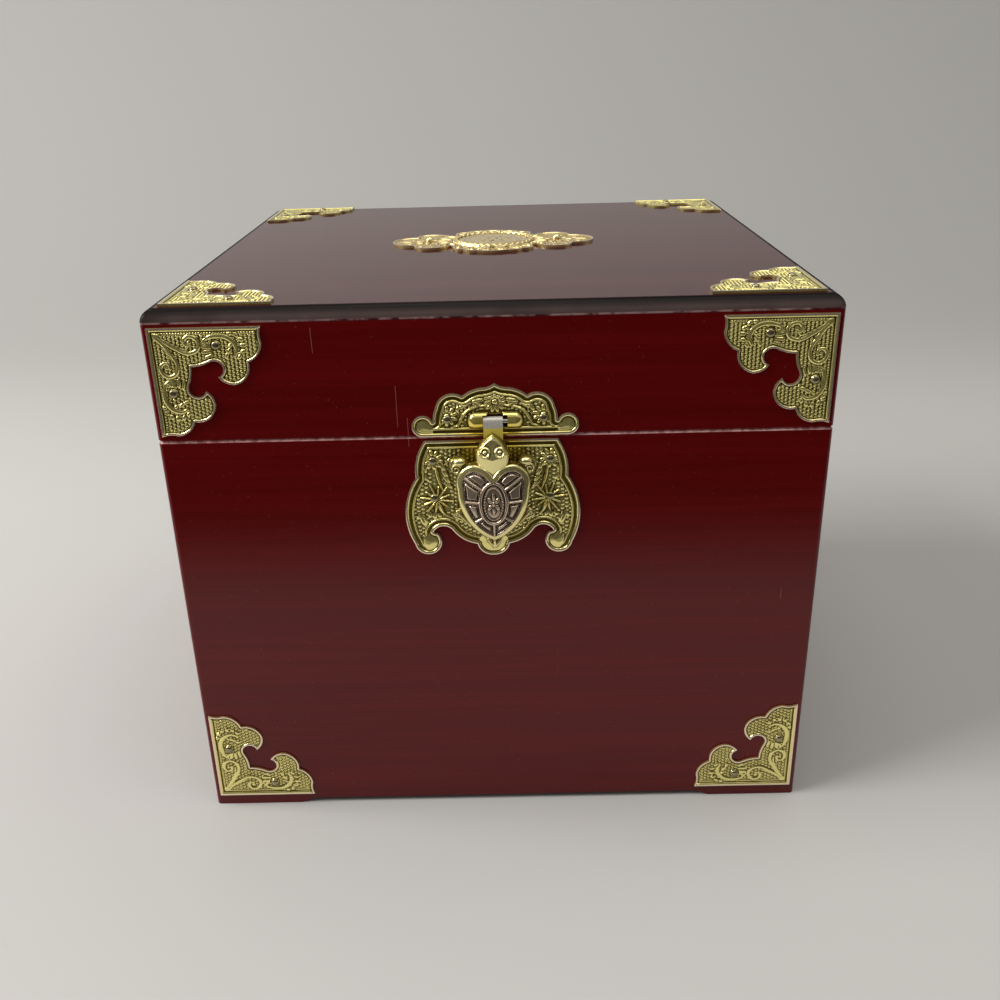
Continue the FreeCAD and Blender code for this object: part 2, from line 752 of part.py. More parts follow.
def make_mirror():
    """A mirror under the lid board, held by the rebated inner edge of a padded frame."""
    glass_low = f"({RAIL_TOP} - mirror_thick)"
    glass = board(
        "lid_mirror", "-mirror_width / 2", "mirror_width / 2",
        "-mirror_depth / 2", "mirror_depth / 2", glass_low, RAIL_TOP,
    )
    piece(glass, "lid_mirror")
    body = new_body("mirror_frame")
    plan = new_sketch(body, "XY_Plane", f"{RAIL_TOP} - frame_thick")
    outer_x = f"({INNER_WIDTH} / 2 - lining_thick - frame_play)"
    outer_y = f"({INNER_DEPTH} / 2 - lining_thick - frame_play)"
    draw_rectangle(plan, f"-{outer_x}", outer_x, f"-{outer_y}", outer_y)
    sight_x = "(mirror_width / 2 - mirror_lip)"
    sight_y = "(mirror_depth / 2 - mirror_lip)"
    draw_rectangle(plan, f"-{sight_x}", sight_x, f"-{sight_y}", sight_y)
    pad(body, plan, "frame_thick")
    rebate = new_sketch(body, "XY_Plane", RAIL_TOP)
    seat_x = "(mirror_width / 2 + groove_play)"
    seat_y = "(mirror_depth / 2 + groove_play)"
    draw_rectangle(rebate, f"-{seat_x}", seat_x, f"-{seat_y}", seat_y)
    pocket(body, rebate, "mirror_thick")
    piece(body, "mirror_frame")


# Fasteners

def fastener(name, spec, x, y, z, turn):
    """A nail, ball stud or screw, and the drill that makes its hole."""
    length = f"({spec['depth']} + {spec['under_head']})"
    shank = rod(f"{name}_shank", spec["radius"], length, "0", "0", f"-{length}", OUT_OF_TOP)
    head = egg(f"{name}_head", spec["head"], spec["head"], spec["dome"], "0", "0", "0", OUT_OF_TOP)
    head.Angle1 = 0
    head.Angle2 = 90
    solid = joined(name, [shank, head])
    place(solid, x, y, z, turn)
    hole = DOC.addObject("Part::Cylinder", f"{name}_drill")
    bind(hole, Radius=f"{spec['radius']} + nail_play", Height=f"2 * {length}")
    inwards = turn.multVec(Vector(0, 0, -1))
    starts = (f"{at} + {round(step)} * {length}" for at, step in zip((x, y, z), inwards))
    place(hole, *starts, turn)
    return solid, hole


NAIL = {
    "radius": "nail_radius", "depth": "nail_depth", "under_head": "plate_thick",
    "head": "nail_head", "dome": "nail_dome",
}
BALL_STUD = {
    "radius": "nail_radius", "depth": "nail_depth", "under_head": "plate_thick",
    "head": "stud_ball", "dome": "stud_ball",
}
SCREW = {
    "radius": "screw_radius", "depth": "screw_depth", "under_head": "leaf_thick",
    "head": "screw_head", "dome": "screw_dome",
}


def corner_points(corner_x, corner_y, step_x, step_y):
    """Where the two nails of a corner plate go, from the plate's outer corner."""
    return [
        (f"{corner_x} + {step_x} * nail_along", f"{corner_y} + {step_y} * nail_across"),
        (f"{corner_x} + {step_x} * nail_across", f"{corner_y} + {step_y} * nail_along"),
    ]


# Corner plates: name, face, and the quarter turn that brings the arms in from the corner
FRONT_PLATES = (
    ("case_corner_plate_left", 0, -1, 1),
    ("case_corner_plate_right", 1, 1, 1),
    ("lid_corner_plate_right", 2, 1, -1),
    ("lid_corner_plate_left", 3, -1, -1),
)
TOP_PLATES = (
    ("top_plate_front_left", 0, -1, -1),
    ("top_plate_front_right", 1, 1, -1),
    ("top_plate_back_right", 2, 1, 1),
    ("top_plate_back_left", 3, -1, 1),
)


def make_fasteners():
    """All nails, studs and hinge screws, and the drills for the pieces they go through."""
    sets = {name: [] for name in ("case_front", "case_back", "lid_front", "lid_back", "lid_top")}

    def add(where, label, spec, points, turn):
        for number, (x, y, z) in enumerate(points, start=1):
            sets[where].append((label, *fastener(f"{label}_{number}", spec, x, y, z, turn)))

    case_points = []
    lid_points = []
    for name, turns, side, up in FRONT_PLATES:
        corner_x = f"{side} * (box_width / 2 - plate_side)"
        corner_z = "plate_rise" if up > 0 else "(box_height - plate_drop)"
        spots = corner_points(corner_x, corner_z, -side, up)
        chosen = case_points if up > 0 else lid_points
        chosen.extend((x, PLATE_FACE, z) for x, z in spots)
    add("case_front", "case_corner_nails", NAIL, case_points, OUT_OF_FRONT)
    add("lid_front", "lid_corner_nails", NAIL, lid_points, OUT_OF_FRONT)

    top_points = []
    plate_top = "(box_height + plate_thick)"
    for name, turns, side, back in TOP_PLATES:
        corner_x = f"{side} * (box_width / 2 - plate_top_inset)"
        corner_y = f"{back} * (box_depth / 2 - plate_top_inset)"
        spots = corner_points(corner_x, corner_y, -side, -back)
        top_points.extend((x, y, plate_top) for x, y in spots)
    add("lid_top", "top_corner_nails", NAIL, top_points, OUT_OF_TOP)
    studs = [(f"{side} * medal_stud", "0", plate_top) for side in (-1, 1)]
    add("lid_top", "medallion_studs", BALL_STUD, studs, OUT_OF_TOP)

    upper_z = f"({SEAM} + upper_gap + upper_nail_up)"
    upper = [(f"upper_shift + {side} * upper_nail_out", PLATE_FACE, upper_z) for side in (-1, 1)]
    add("lid_front", "upper_latch_nails", NAIL, upper, OUT_OF_FRONT)
    lower = [
        (f"lower_shift + {side} * lower_nail_out", PLATE_FACE, f"({SEAM} - lower_gap - {drop})")
        for side in (-1, 1)
        for drop in ("lower_nail_high", "lower_nail_low")
    ]
    add("case_front", "lower_latch_nails", NAIL, lower, OUT_OF_FRONT)

    leaf_face = f"({BACK} + leaf_thick)"
    for where, label, rise in (
        ("case_back", "hinge_case_screws", "-screw_rise"),
        ("lid_back", "hinge_lid_screws", "screw_rise"),
    ):
        spots = [
            (f"{side} * hinge_spread / 2 + {end} * screw_out", leaf_face, f"{SEAM} + {rise}")
            for side in (-1, 1)
            for end in (-1, 1)
        ]
        add(where, label, SCREW, spots, OUT_OF_BACK)

    labels = sorted({entry[0] for entries in sets.values() for entry in entries})
    for label in labels:
        solids = [entry[1] for entries in sets.values() for entry in entries if entry[0] == label]
        piece(group(label, solids), label)
    drills = {
        where: group(f"{where}_drills", [entry[2] for entry in entries])
        for where, entries in sets.items()
        if where != "case_front"
    }
    stud_hole = rod(
        "stud_hole", "stud_shank + nail_play", "stud_depth + plate_thick",
        "hasp_shift", f"{FRONT} + stud_depth", STUD_Z, OUT_OF_FRONT,
    )
    front_drills = [entry[2] for entry in sets["case_front"]]
    drills["case_front"] = group("case_front_drills", front_drills + [stud_hole])
    return drills


# Stamped brass plates

def stamped_plate(name, outline, plane, offset):
    """A stamped plate: its outline padded, with the field lowered inside a rim."""
    body = new_body(f"{name}_stamping")
    face = new_sketch(body, plane, offset)
    draw_outline(face, outline)
    pad(body, face, "plate_thick")
    field = new_sketch(body, plane, f"{offset} + plate_thick")
    for curve in inset_curves(outline, amount_of("plate_rim")):
        field.addGeometry(curve, False)
    pocket(body, field, "field_depth")
    return body


def make_corner_plates(drills):
    """Eight corner plates: four on the front, four on top."""
    outline = stretched(CORNER_PLATE, *scale_to(CORNER_PLATE, "plate_arm", "plate_arm"))
    for name, turns, side, up in FRONT_PLATES:
        body = stamped_plate(name, outline, "XY_Plane", "0")
        turn = OUT_OF_FRONT * Rotation(Vector(0, 0, 1), 90 * turns)
        height = "plate_rise" if up > 0 else "box_height - plate_drop"
        place(body, f"{side} * (box_width / 2 - plate_side)", FRONT, height, turn)
        where = "case_front" if up > 0 else "lid_front"
        piece(cut(name, body, drills[where]), name)
    for name, turns, side, back in TOP_PLATES:
        body = stamped_plate(name, outline, "XY_Plane", "0")
        corner_y = f"{back} * (box_depth / 2 - plate_top_inset)"
        corner_x = f"{side} * (box_width / 2 - plate_top_inset)"
        place(body, corner_x, corner_y, "box_height", Rotation(Vector(0, 0, 1), 90 * turns))
        piece(cut(name, body, drills["lid_top"]), name)


def make_medallion(drills):
    """The medallion in the middle of the lid, with its raised disc."""
    outline = stretched(MEDALLION, *scale_to(MEDALLION, "medal_width", "medal_depth"))
    plate = stamped_plate("top_medallion", outline, "XY_Plane", "box_height")
    dome = egg(
        "medallion_dome", "medal_disc", "medal_disc", "plate_thick + medal_rise",
        "0", "0", "box_height", OUT_OF_TOP,
    )
    dome.Angle1 = 0
    whole = joined("medallion_whole", [plate, dome])
    piece(cut("top_medallion", whole, drills["lid_top"]), "top_medallion")


# Latch

def make_upper_plate(drills):
    """The upper latch plate, with a window for the hasp and a tunnel each side for its pin."""
    scale = scale_to(UPPER_PLATE, "upper_width", "upper_height")
    low = amount_of(f"{SEAM} + upper_gap")
    outline = stretched(UPPER_PLATE, *scale, (amount_of("upper_shift"), low))
    plate = stamped_plate("upper_latch_plate", outline, "XZ_Plane", "box_depth / 2")
    half_tunnel = "(window_width / 2 + tunnel_length)"
    tunnel = rod(
        "pin_tunnel", "barrel_radius", f"2 * {half_tunnel}",
        f"upper_shift - {half_tunnel}", PIN_Y, PIN_Z, ALONG_X,
    )
    well_ahead = f"({PIN_Y} - 2 * barrel_radius)"
    in_front = board(
        "tunnel_front", f"upper_shift - {half_tunnel}", f"upper_shift + {half_tunnel}",
        well_ahead, FRONT, f"{PIN_Z} - 2 * barrel_radius", f"{PIN_Z} + 2 * barrel_radius",
    )
    bulge = common("tunnel_bulge", tunnel, in_front)
    raised = joined("upper_plate_raised", [plate, bulge])
    window = board(
        "hasp_window", "upper_shift - window_width / 2", "upper_shift + window_width / 2",
        well_ahead, f"{FRONT} + plate_thick",
        f"{PIN_Z} - window_height / 2", f"{PIN_Z} + window_height / 2",
    )
    bore = rod(
        "pin_bore", "pin_radius + pin_play", "pin_length + 2 * pin_end_play",
        "upper_shift - pin_length / 2 - pin_end_play", PIN_Y, PIN_Z, ALONG_X,
    )
    opened = cut("upper_plate_opened", raised, joined("window_and_bore", [window, bore]))
    piece(cut("upper_latch_plate", opened, drills["lid_front"]), "upper_latch_plate")
    pin = rod(
        "hasp_pin", "pin_radius", "pin_length",
        "upper_shift - pin_length / 2", PIN_Y, PIN_Z, ALONG_X,
    )
    piece(pin, "hasp_pin")


def make_lower_plate(drills):
    """The lower latch plate and the stud that the hasp's spring grips."""
    scale = scale_to(LOWER_PLATE, "lower_width", "lower_height")
    high = amount_of(f"{SEAM} - lower_gap")
    outline = stretched(LOWER_PLATE, *scale, (amount_of("lower_shift"), high))
    plate = stamped_plate("lower_latch_plate", outline, "XZ_Plane", "box_depth / 2")
    piece(cut("lower_latch_plate", plate, drills["case_front"]), "lower_latch_plate")
    body = new_body("catch_stud")
    profile = new_sketch(body, "XY_Plane")
    shank = amount_of("stud_shank")
    head = amount_of("stud_radius")
    tip = amount_of("stud_reach")
    nose = amount_of("stud_nose")
    under = amount_of("plate_thick")
    end = -amount_of("stud_depth")
    sphere = (head ** 2 + nose ** 2) / (2 * nose)
    halfway = math.asin(head / sphere) / 2
    crown = (sphere * math.sin(halfway), tip - sphere * (1 - math.cos(halfway)))
    draw_outline(
        profile,
        [
            ((0, end), (shank, end)),
            ((shank, end), (shank, under)),
            ((shank, under), (head, under)),
            ((head, under), (head, tip - nose)),
            ((head, tip - nose), crown, (0, tip)),
            ((0, tip), (0, end)),
        ],
    )
    turned = body.newObject("PartDesign::Revolution", "catch_stud_turned")
    turned.Profile = profile
    turned.ReferenceAxis = (profile, ["V_Axis"])
    turned.Angle = 360
    place(body, "hasp_shift", FRONT, STUD_Z, Rotation(Vector(0, 0, 1), 180))
    piece(body, "catch_stud")


def heart_prism(name, outline, back, depth):
    """An upright outline padded forwards, away from the front of the box."""
    body = new_body(name)
    face = new_sketch(body, "XZ_Plane", f"box_depth / 2 + {back}")
    if isinstance(outline[0], tuple):
        draw_outline(face, outline)
    else:
        for curve in outline:
            face.addGeometry(curve, False)
    pad(body, face, depth)
    return body


def make_turtle():
    """The turtle: a hollow casting with head, limbs and tail, and a scute plate let into it."""
    shift = amount_of("hasp_shift")
    top = amount_of(SHELL_TOP)
    across, along = scale_to(SHELL, "shell_width", "shell_height")
    outline = stretched(SHELL, across, along, (shift, top))
    back_y = f"({FRONT} - shell_back)"
    deep = "2 * shell_crown"

    def dome(name, less):
        return egg(
            name, f"shell_width / 2 + dome_margin - {less}",
            f"shell_height / 2 + dome_margin - {less}", f"shell_crown - {less}",
            "hasp_shift", back_y, f"({SHELL_TOP} - dome_drop)",
        )

    blank = common("shell_blank", heart_prism("shell_prism", outline, "shell_back", deep),
                   dome("shell_dome", "0"))
    inner = inset_curves(outline, amount_of("shell_rim"))
    seat = cut("inlay_seat", heart_prism("seat_prism", inner, "shell_back", deep),
               dome("seat_dome", "inlay_thick"))
    hollow = common(
        "shell_hollow", heart_prism("hollow_prism", inner, "shell_back", deep),
        dome("hollow_dome", "(inlay_thick + casting_wall)"),
    )
    head_scale = scale_to(HEAD, "head_width", "head_height")
    head_outline = stretched(HEAD, *head_scale, (shift, amount_of(f"{SEAM} + head_rise")))
    strap_front = "(pin_out + barrel_radius)"
    head = common(
        "head_blank", heart_prism("head_prism", head_outline, strap_front, "2 * head_crown"),
        egg("head_dome", "head_width / 2 + head_margin", "head_height / 2 + head_margin",
            "head_crown", "hasp_shift", f"{FRONT} - {strap_front}",
            f"({SEAM} + head_rise - head_height / 2)"),
    )
    limbs = []
    for name, drawn in (("flipper", FLIPPER), ("leg", LEG)):
        for side, word in ((1, "right"), (-1, "left")):
            shape = stretched(drawn, across * side, along, (shift, top))
            limbs.append(heart_prism(f"{name}_{word}", shape, "shell_back", "limb_thick"))
    root = amount_of("tail_width / 2")
    waist = root * TAIL_TAPER
    tip = top - amount_of("shell_height + tail_length")
    start = top - amount_of("shell_height - tail_root")
    halfway = (start + tip) / 2
    tail_outline = [
        ((shift - root, start), (shift - waist, halfway), (shift, tip)),
        ((shift, tip), (shift + waist, halfway), (shift + root, start)),
        ((shift + root, start), (shift - root, start)),
    ]
    limbs.append(heart_prism("tail", tail_outline, "(shell_back + tail_lift)", "limb_thick"))
    post = rod(
        "clip_post", "post_radius",
        "shell_crown - inlay_thick - casting_wall / 2 - clip_gap - clip_thick",
        "hasp_shift", f"{back_y} - clip_gap - clip_thick",
        f"{STUD_Z} + clip_above + clip_bridge / 2", OUT_OF_FRONT,
    )
    carved = cut("shell_carved", blank, joined("shell_cuts", [seat, hollow]))
    whole = joined("turtle_whole", [carved, head, post] + limbs)
    half_slot = "(stud_radius + slot_play)"
    slot = board(
        "stud_slot", f"hasp_shift - {half_slot}", f"hasp_shift + {half_slot}",
        f"{back_y} - tail_lift", FRONT, f"{SHELL_TOP} - shell_height - 2 * tail_length", STUD_Z,
    )
    piece(cut("turtle_casting", whole, slot), "turtle_casting")
    plate = common("inlay_plate", heart_prism("inlay_prism", inner, "shell_back", deep),
                   dome("inlay_dome", "(-inlay_proud)"))
    piece(cut("shell_inlay", plate, dome("inlay_under", "inlay_thick")), "shell_inlay")


def make_strap_and_clip():
    """The strap that hangs the turtle from its pin, and the spring clip inside the shell."""
    front = f"({PIN_Y} - barrel_radius)"
    end = f"({SEAM} - strap_drop)"
    start = "strap_shift - strap_width / 2"
    eye = rod("strap_eye", "barrel_radius", "strap_width", start, PIN_Y, PIN_Z, ALONG_X)
    strip = board("strap_strip", start, "strap_shift + strap_width / 2", front,
                  f"{front} + strap_thick", end, PIN_Z)
    bore = rod("strap_bore", "pin_radius + pin_play", "2 * strap_width",
               "strap_shift - strap_width", PIN_Y, PIN_Z, ALONG_X)
    piece(cut("hasp_strap", joined("strap_blank", [eye, strip]), bore), "hasp_strap")
    inner = "(stud_radius + clip_play)"
    outer = f"({inner} + clip_wire)"
    low = f"({STUD_Z} - clip_below)"
    body = new_body("clip_plate")
    face = new_sketch(body, "XZ_Plane", "box_depth / 2 + shell_back + clip_gap")
    draw_rectangle(face, f"hasp_shift - {outer}", f"hasp_shift + {outer}",
                   low, f"{STUD_Z} + clip_above + clip_bridge")
    pad(body, face, "clip_thick")
    gap = new_sketch(body, "XZ_Plane", "box_depth / 2 + shell_back + clip_gap + clip_thick")
    draw_rectangle(gap, f"hasp_shift - {inner}", f"hasp_shift + {inner}",
                   f"{low} - clip_wire", f"{STUD_Z} + clip_above")
    pocket(body, gap, "clip_thick")
    piece(body, "hasp_clip")


# Hinges

def leaf_outline(middle, direction, own_middle):
    """One hinge leaf seen from the back, with notches for the other leaf's knuckles."""
    half = amount_of("hinge_width / 2")
    inner = amount_of("middle_knuckle / 2")
    gap = amount_of("knuckle_gap")
    clear = amount_of("knuckle_radius + notch_clear")
    far = amount_of("hinge_leaf")
    soft = amount_of("leaf_round")
    near = amount_of("notch_clear")
    seam = amount_of(SEAM)

    def at(x, rise):
        return (middle + x, seam + direction * rise)

    bend = soft * (1 - math.sqrt(0.5))
    if own_middle:
        top = [at(half, clear), at(inner, clear), at(inner, near), at(-inner, near),
               at(-inner, clear), at(-half, clear)]
    else:
        top = [at(half, near), at(inner + gap, near), at(inner + gap, clear),
               at(-inner - gap, clear), at(-inner - gap, near), at(-half, near)]
    path = [(top[n], top[n + 1]) for n in range(len(top) - 1)]
    path.append((top[-1], at(-half, far - soft)))
    path.append((at(-half, far - soft), at(-half + bend, far - bend), at(-half + soft, far)))
    path.append((at(-half + soft, far), at(half - soft, far)))
    path.append((at(half - soft, far), at(half - bend, far - bend), at(half, far - soft)))
    path.append((at(half, far - soft), top[0]))
    return path


def make_hinges(drills):
    """Two brass stop hinges on the back, each with two leaves and a pin."""
    for side, word in ((-1, "left"), (1, "right")):
        middle = f"({side} * hinge_spread / 2)"
        centre = amount_of(middle)
        half_middle = "(middle_knuckle / 2)"
        side_length = "(hinge_width / 2 - middle_knuckle / 2 - knuckle_gap)"
        bore = rod(
            f"hinge_bore_{word}", "hinge_pin + hinge_play", "2 * hinge_width",
            f"{middle} - hinge_width", HINGE_Y, SEAM, ALONG_X,
        )
        made = {}
        for part, direction, own_middle in (("case", -1, False), ("lid", 1, True)):
            leaf = new_body(f"hinge_{part}_{word}_leaf")
            face = new_sketch(leaf, "XZ_Plane", "-box_depth / 2 - leaf_thick")
            draw_outline(face, leaf_outline(centre, direction, own_middle))
            pad(leaf, face, "leaf_thick")
            made[part] = [leaf]
        ends = (f"{middle} - hinge_width / 2", f"{middle} + {half_middle} + knuckle_gap")
        for number, start in enumerate(ends):
            made["case"].append(rod(
                f"hinge_knuckle_{word}_{number}", "knuckle_radius", side_length,
                start, HINGE_Y, SEAM, ALONG_X,
            ))
        made["lid"].append(rod(
            f"hinge_middle_{word}", "knuckle_radius", "middle_knuckle",
            f"{middle} - {half_middle}", HINGE_Y, SEAM, ALONG_X,
        ))
        made["lid"].append(stop_heel(word, middle))
        for part in ("case", "lid"):
            whole = joined(f"hinge_{part}_{word}_whole", made[part])
            bored = cut(f"hinge_{part}_{word}_bored", whole, bore)
            name = f"hinge_{part}_leaf_{word}"
            piece(cut(name, bored, drills[f"{part}_back"]), name)
        pin = rod(
            f"hinge_pin_{word}", "hinge_pin", "hinge_width",
            f"{middle} - hinge_width / 2", HINGE_Y, SEAM, ALONG_X,
        )
        piece(pin, f"hinge_pin_{word}")


def stop_heel(word, middle):
    """The heel that meets the case leaf when the lid is fully open, drawn where it stops."""
    away = "(knuckle_radius + knuckle_clear - leaf_thick - heel_clear)"
    heel = DOC.addObject("Part::Box", f"hinge_heel_{word}")
    bind(heel, Length="middle_knuckle", Width="heel_thick", Height="heel_length")
    stopped = Placement(Vector(0, -amount_of(away), -amount_of("heel_length")), Rotation())
    swing = Placement(Vector(), Rotation(Vector(1, 0, 0), amount_of("lid_open")))
    heel.Placement = swing * stopped
    holder = DOC.addObject("Part::Compound", f"hinge_heel_{word}_placed")
    holder.Links = [heel]
    place(holder, f"{middle} - middle_knuckle / 2", HINGE_Y, SEAM)
    return holder


# Tray

def make_tray():
    """The lift-out tray: four walls on a bottom board, dividers, pads, rolls and pull tabs."""
    half_width = f"({TRAY_WIDTH} / 2)"
    half_depth = f"({TRAY_DEPTH} / 2)"
    inside_x = f"({half_width} - tray_wall)"
    inside_y = f"({half_depth} - tray_wall)"
    floor_top = f"({TRAY_BASE} + tray_floor)"
    pad_top = f"({floor_top} + tray_pad)"
    divider_top = f"({TRAY_TOP} - divider_drop)"
    split_low = f"(-{inside_y} + tray_split)"
    split_high = f"({split_low} + divider_thick)"
    walls_made = (
        ("tray_front_wall", f"-{half_width}", half_width, f"-{half_depth}", f"-{inside_y}"),
        ("tray_back_wall", f"-{half_width}", half_width, inside_y, half_depth),
        ("tray_left_wall", f"-{half_width}", f"-{inside_x}", f"-{inside_y}", inside_y),
        ("tray_right_wall", inside_x, half_width, f"-{inside_y}", inside_y),
    )
    for name, left, right, front, back in walls_made:
        piece(board(name, left, right, front, back, TRAY_BASE, TRAY_TOP), name)
    base = board("tray_bottom", f"-{inside_x}", inside_x, f"-{inside_y}", inside_y,
                 TRAY_BASE, floor_top)
    piece(base, "tray_bottom")
    long_one = board("tray_long_divider", f"-{inside_x}", inside_x, split_low, split_high,
                     floor_top, divider_top)
    piece(long_one, "tray_long_divider")
    left_cell = f"(-{inside_x} + cell_width)"
    right_cell = f"({inside_x} - cell_width)"
    bay = f"({inside_x} - bay_width)"
    shorts = (
        ("divider_left", left_cell, f"{left_cell} + divider_thick", f"-{inside_y}", split_low),
        ("divider_right", f"{right_cell} - divider_thick", right_cell, f"-{inside_y}", split_low),
        ("divider_bay", f"{bay} - divider_thick", bay, split_high, inside_y),
    )
    piece(group("tray_cross_dividers", [
        board(name, left, right, front, back, floor_top, divider_top)
        for name, left, right, front, back in shorts
    ]), "tray_cross_dividers")
    cells = (
        ("pad_left", f"-{inside_x}", left_cell, f"-{inside_y}", split_low),
        ("pad_middle", f"{left_cell} + divider_thick", f"{right_cell} - divider_thick",
         f"-{inside_y}", split_low),
        ("pad_right", right_cell, inside_x, f"-{inside_y}", split_low),
        ("pad_rolls", f"-{inside_x}", f"{bay} - divider_thick", split_high, inside_y),
        ("pad_bay", bay, inside_x, split_high, inside_y),
    )
    piece(group("tray_pads", [
        board(name, f"{left} + liner_play", f"{right} - liner_play", f"{front} + liner_play",
              f"{back} - liner_play", floor_top, pad_top)
        for name, left, right, front, back in cells
    ]), "tray_pads")
    make_rolls(f"(-{inside_x} + liner_play)", f"({bay} - divider_thick - liner_play)",
               split_high, inside_y, pad_top)
    make_pull_tabs(inside_x, f"({split_low} - tab_width)")


def make_pull_tabs(inside_x, middle):
    """Two ribbon tabs glued inside the end walls, which lift the tray out."""
    tabs = []
    for word, left, right in (
        ("left", f"-{inside_x}", f"-{inside_x} + tab_thick"),
        ("right", f"{inside_x} - tab_thick", inside_x),
    ):
        tabs.append(board(
            f"tab_{word}", left, right, f"{middle} - tab_width / 2", f"{middle} + tab_width / 2",
            f"{TRAY_TOP} - tab_depth", f"{TRAY_TOP} + tab_rise",
        ))
    piece(group("tray_pull_tabs", tabs), "tray_pull_tabs")


def make_rolls(left, right, front, back, low):
    """Padded rolls with a round top, packed side by side to hold rings."""
    count = int(amount_of("roll_count"))
    pitch = f"(({back} - ({front})) / roll_count)"
    radius = f"({pitch} / 2 - roll_gap / 2)"
    rolls = []
    for number in range(count):
        middle = f"({front} + {pitch} * {number + 0.5})"
        crown = f"({low} + roll_height - {radius})"
        lower = board(f"roll_core_{number}", left, right, f"{middle} - {radius}",
                      f"{middle} + {radius}", low, crown)
        upper = rod(f"roll_round_{number}", radius, f"{right} - ({left})", left, middle,
                    crown, ALONG_X)
        rolls.append(joined(f"roll_{number}", [lower, upper]))
    piece(group("ring_rolls", rolls), "ring_rolls")


# Checks and output

def check_pieces():
    """Stop if anything in the document failed or a piece has no sound shape."""
    for item in DOC.Objects:
        if "Invalid" in item.State or "Error" in item.State:
            raise RuntimeError(f"{item.Name} failed: {item.State}")
    labels = [item.Label for item in PIECES]
    if len(set(labels)) != len(labels):
        raise RuntimeError("two pieces share a label")
    for item in PIECES:
        if item.Shape.isNull() or not item.Shape.isValid() or not item.Shape.Solids:
            raise RuntimeError(f"{item.Label} has no valid solid")


def write_pieces():
    """One STEP file for each piece, named by its label."""
    os.makedirs("parts", exist_ok=True)
    for item in PIECES:
        item.Shape.exportStep(os.path.join("parts", f"{item.Label}.step"))
        print(f"{item.Label}: {len(item.Shape.Solids)} solids, {item.Shape.Volume:.1f} mm3")
    print(f"{len(PIECES)} pieces")


all_drills = make_fasteners()
make_case(all_drills)
make_lid(all_drills)
make_linings()
make_mirror()
make_corner_plates(all_drills)
make_medallion(all_drills)
make_upper_plate(all_drills)
make_lower_plate(all_drills)
make_turtle()
make_strap_and_clip()
make_hinges(all_drills)
make_tray()
DOC.recompute()
check_pieces()
write_pieces()
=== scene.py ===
# %% [markdown]
# A lacquered jewelry box with stamped brass plates and a turtle hasp.
# The construction comes as a fixed frame, in metres, and every piece here is dressed around it.
# Sizes below are written in millimetres and turned into metres when a mesh is made.

# %% The frame
import math

import bmesh
import bpy
import numpy as np
from mathutils import Matrix
from mathutils import Vector
from mathutils.geometry import delaunay_2d_cdt


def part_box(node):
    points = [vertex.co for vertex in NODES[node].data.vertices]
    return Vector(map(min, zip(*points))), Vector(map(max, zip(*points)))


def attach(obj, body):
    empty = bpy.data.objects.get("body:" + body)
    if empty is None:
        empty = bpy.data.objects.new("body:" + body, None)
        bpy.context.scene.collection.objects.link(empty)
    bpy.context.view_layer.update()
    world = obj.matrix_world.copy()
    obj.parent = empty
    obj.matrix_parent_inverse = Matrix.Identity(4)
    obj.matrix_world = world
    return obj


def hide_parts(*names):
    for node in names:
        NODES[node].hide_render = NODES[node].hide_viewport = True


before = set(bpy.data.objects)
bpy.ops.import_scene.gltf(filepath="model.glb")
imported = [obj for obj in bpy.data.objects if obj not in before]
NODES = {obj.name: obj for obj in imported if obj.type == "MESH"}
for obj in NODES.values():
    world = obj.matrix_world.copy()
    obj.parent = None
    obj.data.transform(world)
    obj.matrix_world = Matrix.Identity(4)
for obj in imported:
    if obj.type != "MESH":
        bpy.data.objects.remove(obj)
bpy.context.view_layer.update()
MM = 0.001

# %% [markdown]
# The camera stands where the photographer stood: close, a little above the lid and tipped down.
# Its place and turn follow from where the box's straight edges meet the picture.
# The lens is given for a square picture on a 36 mm wide sensor.

# %% Camera
CAMERA_PLACE = (3.8, -406.4, 251.7)
CAMERA_DOWN = 23.66
CAMERA_ROLL = 1.45
CAMERA_YAW = 0.52
LENS = 37.39


def linked(name, data):
    """A new object for a mesh, a lamp or a camera, linked to the scene."""
    made = bpy.data.objects.new(name, data)
    bpy.context.scene.collection.objects.link(made)
    return made


def make_camera():
    """The camera, first looking level along +Y, then rolled, tipped down and turned."""
    data = bpy.data.cameras.new("camera")
    data.lens = LENS
    data.sensor_width = 36
    data.clip_start = 0.01
    camera = linked("camera", data)
    level = Matrix.Rotation(math.radians(90), 4, "X")
    roll = Matrix.Rotation(math.radians(CAMERA_ROLL), 4, "Y")
    down = Matrix.Rotation(math.radians(-CAMERA_DOWN), 4, "X")
    yaw = Matrix.Rotation(math.radians(CAMERA_YAW), 4, "Z")
    place = Matrix.Translation(Vector(CAMERA_PLACE) * MM)
    camera.matrix_world = place @ yaw @ down @ roll @ level
    bpy.context.scene.camera = camera
    return camera


camera = make_camera()
print("camera at", [round(v, 3) for v in camera.location])

# %% [markdown]
# Materials are node trees. A few small helpers add a node, set it up and link its inputs.
# Effects that several materials share are node groups with named inputs and outputs.

# %% Helpers for nodes


def fill(tree, node, inputs):
    """Links a node's inputs to sockets or sets them to values."""
    for key, value in inputs.items():
        if isinstance(value, bpy.types.NodeSocket):
            tree.links.new(value, node.inputs[key])
        else:
            node.inputs[key].default_value = value


def spaced(inputs):
    """Input names with their underscores turned into spaces."""
    return {name.replace("_", " "): value for name, value in inputs.items()}


def put(tree, kind, inputs=None, **settings):
    """A new node with its settings and its inputs."""
    made = tree.nodes.new(kind)
    for name, value in settings.items():
        setattr(made, name, value)
    fill(tree, made, inputs or {})
    return made


def sums(tree, operation, first, second=0.0):
    """The output of a Math node."""
    return put(tree, "ShaderNodeMath", {0: first, 1: second}, operation=operation).outputs[0]


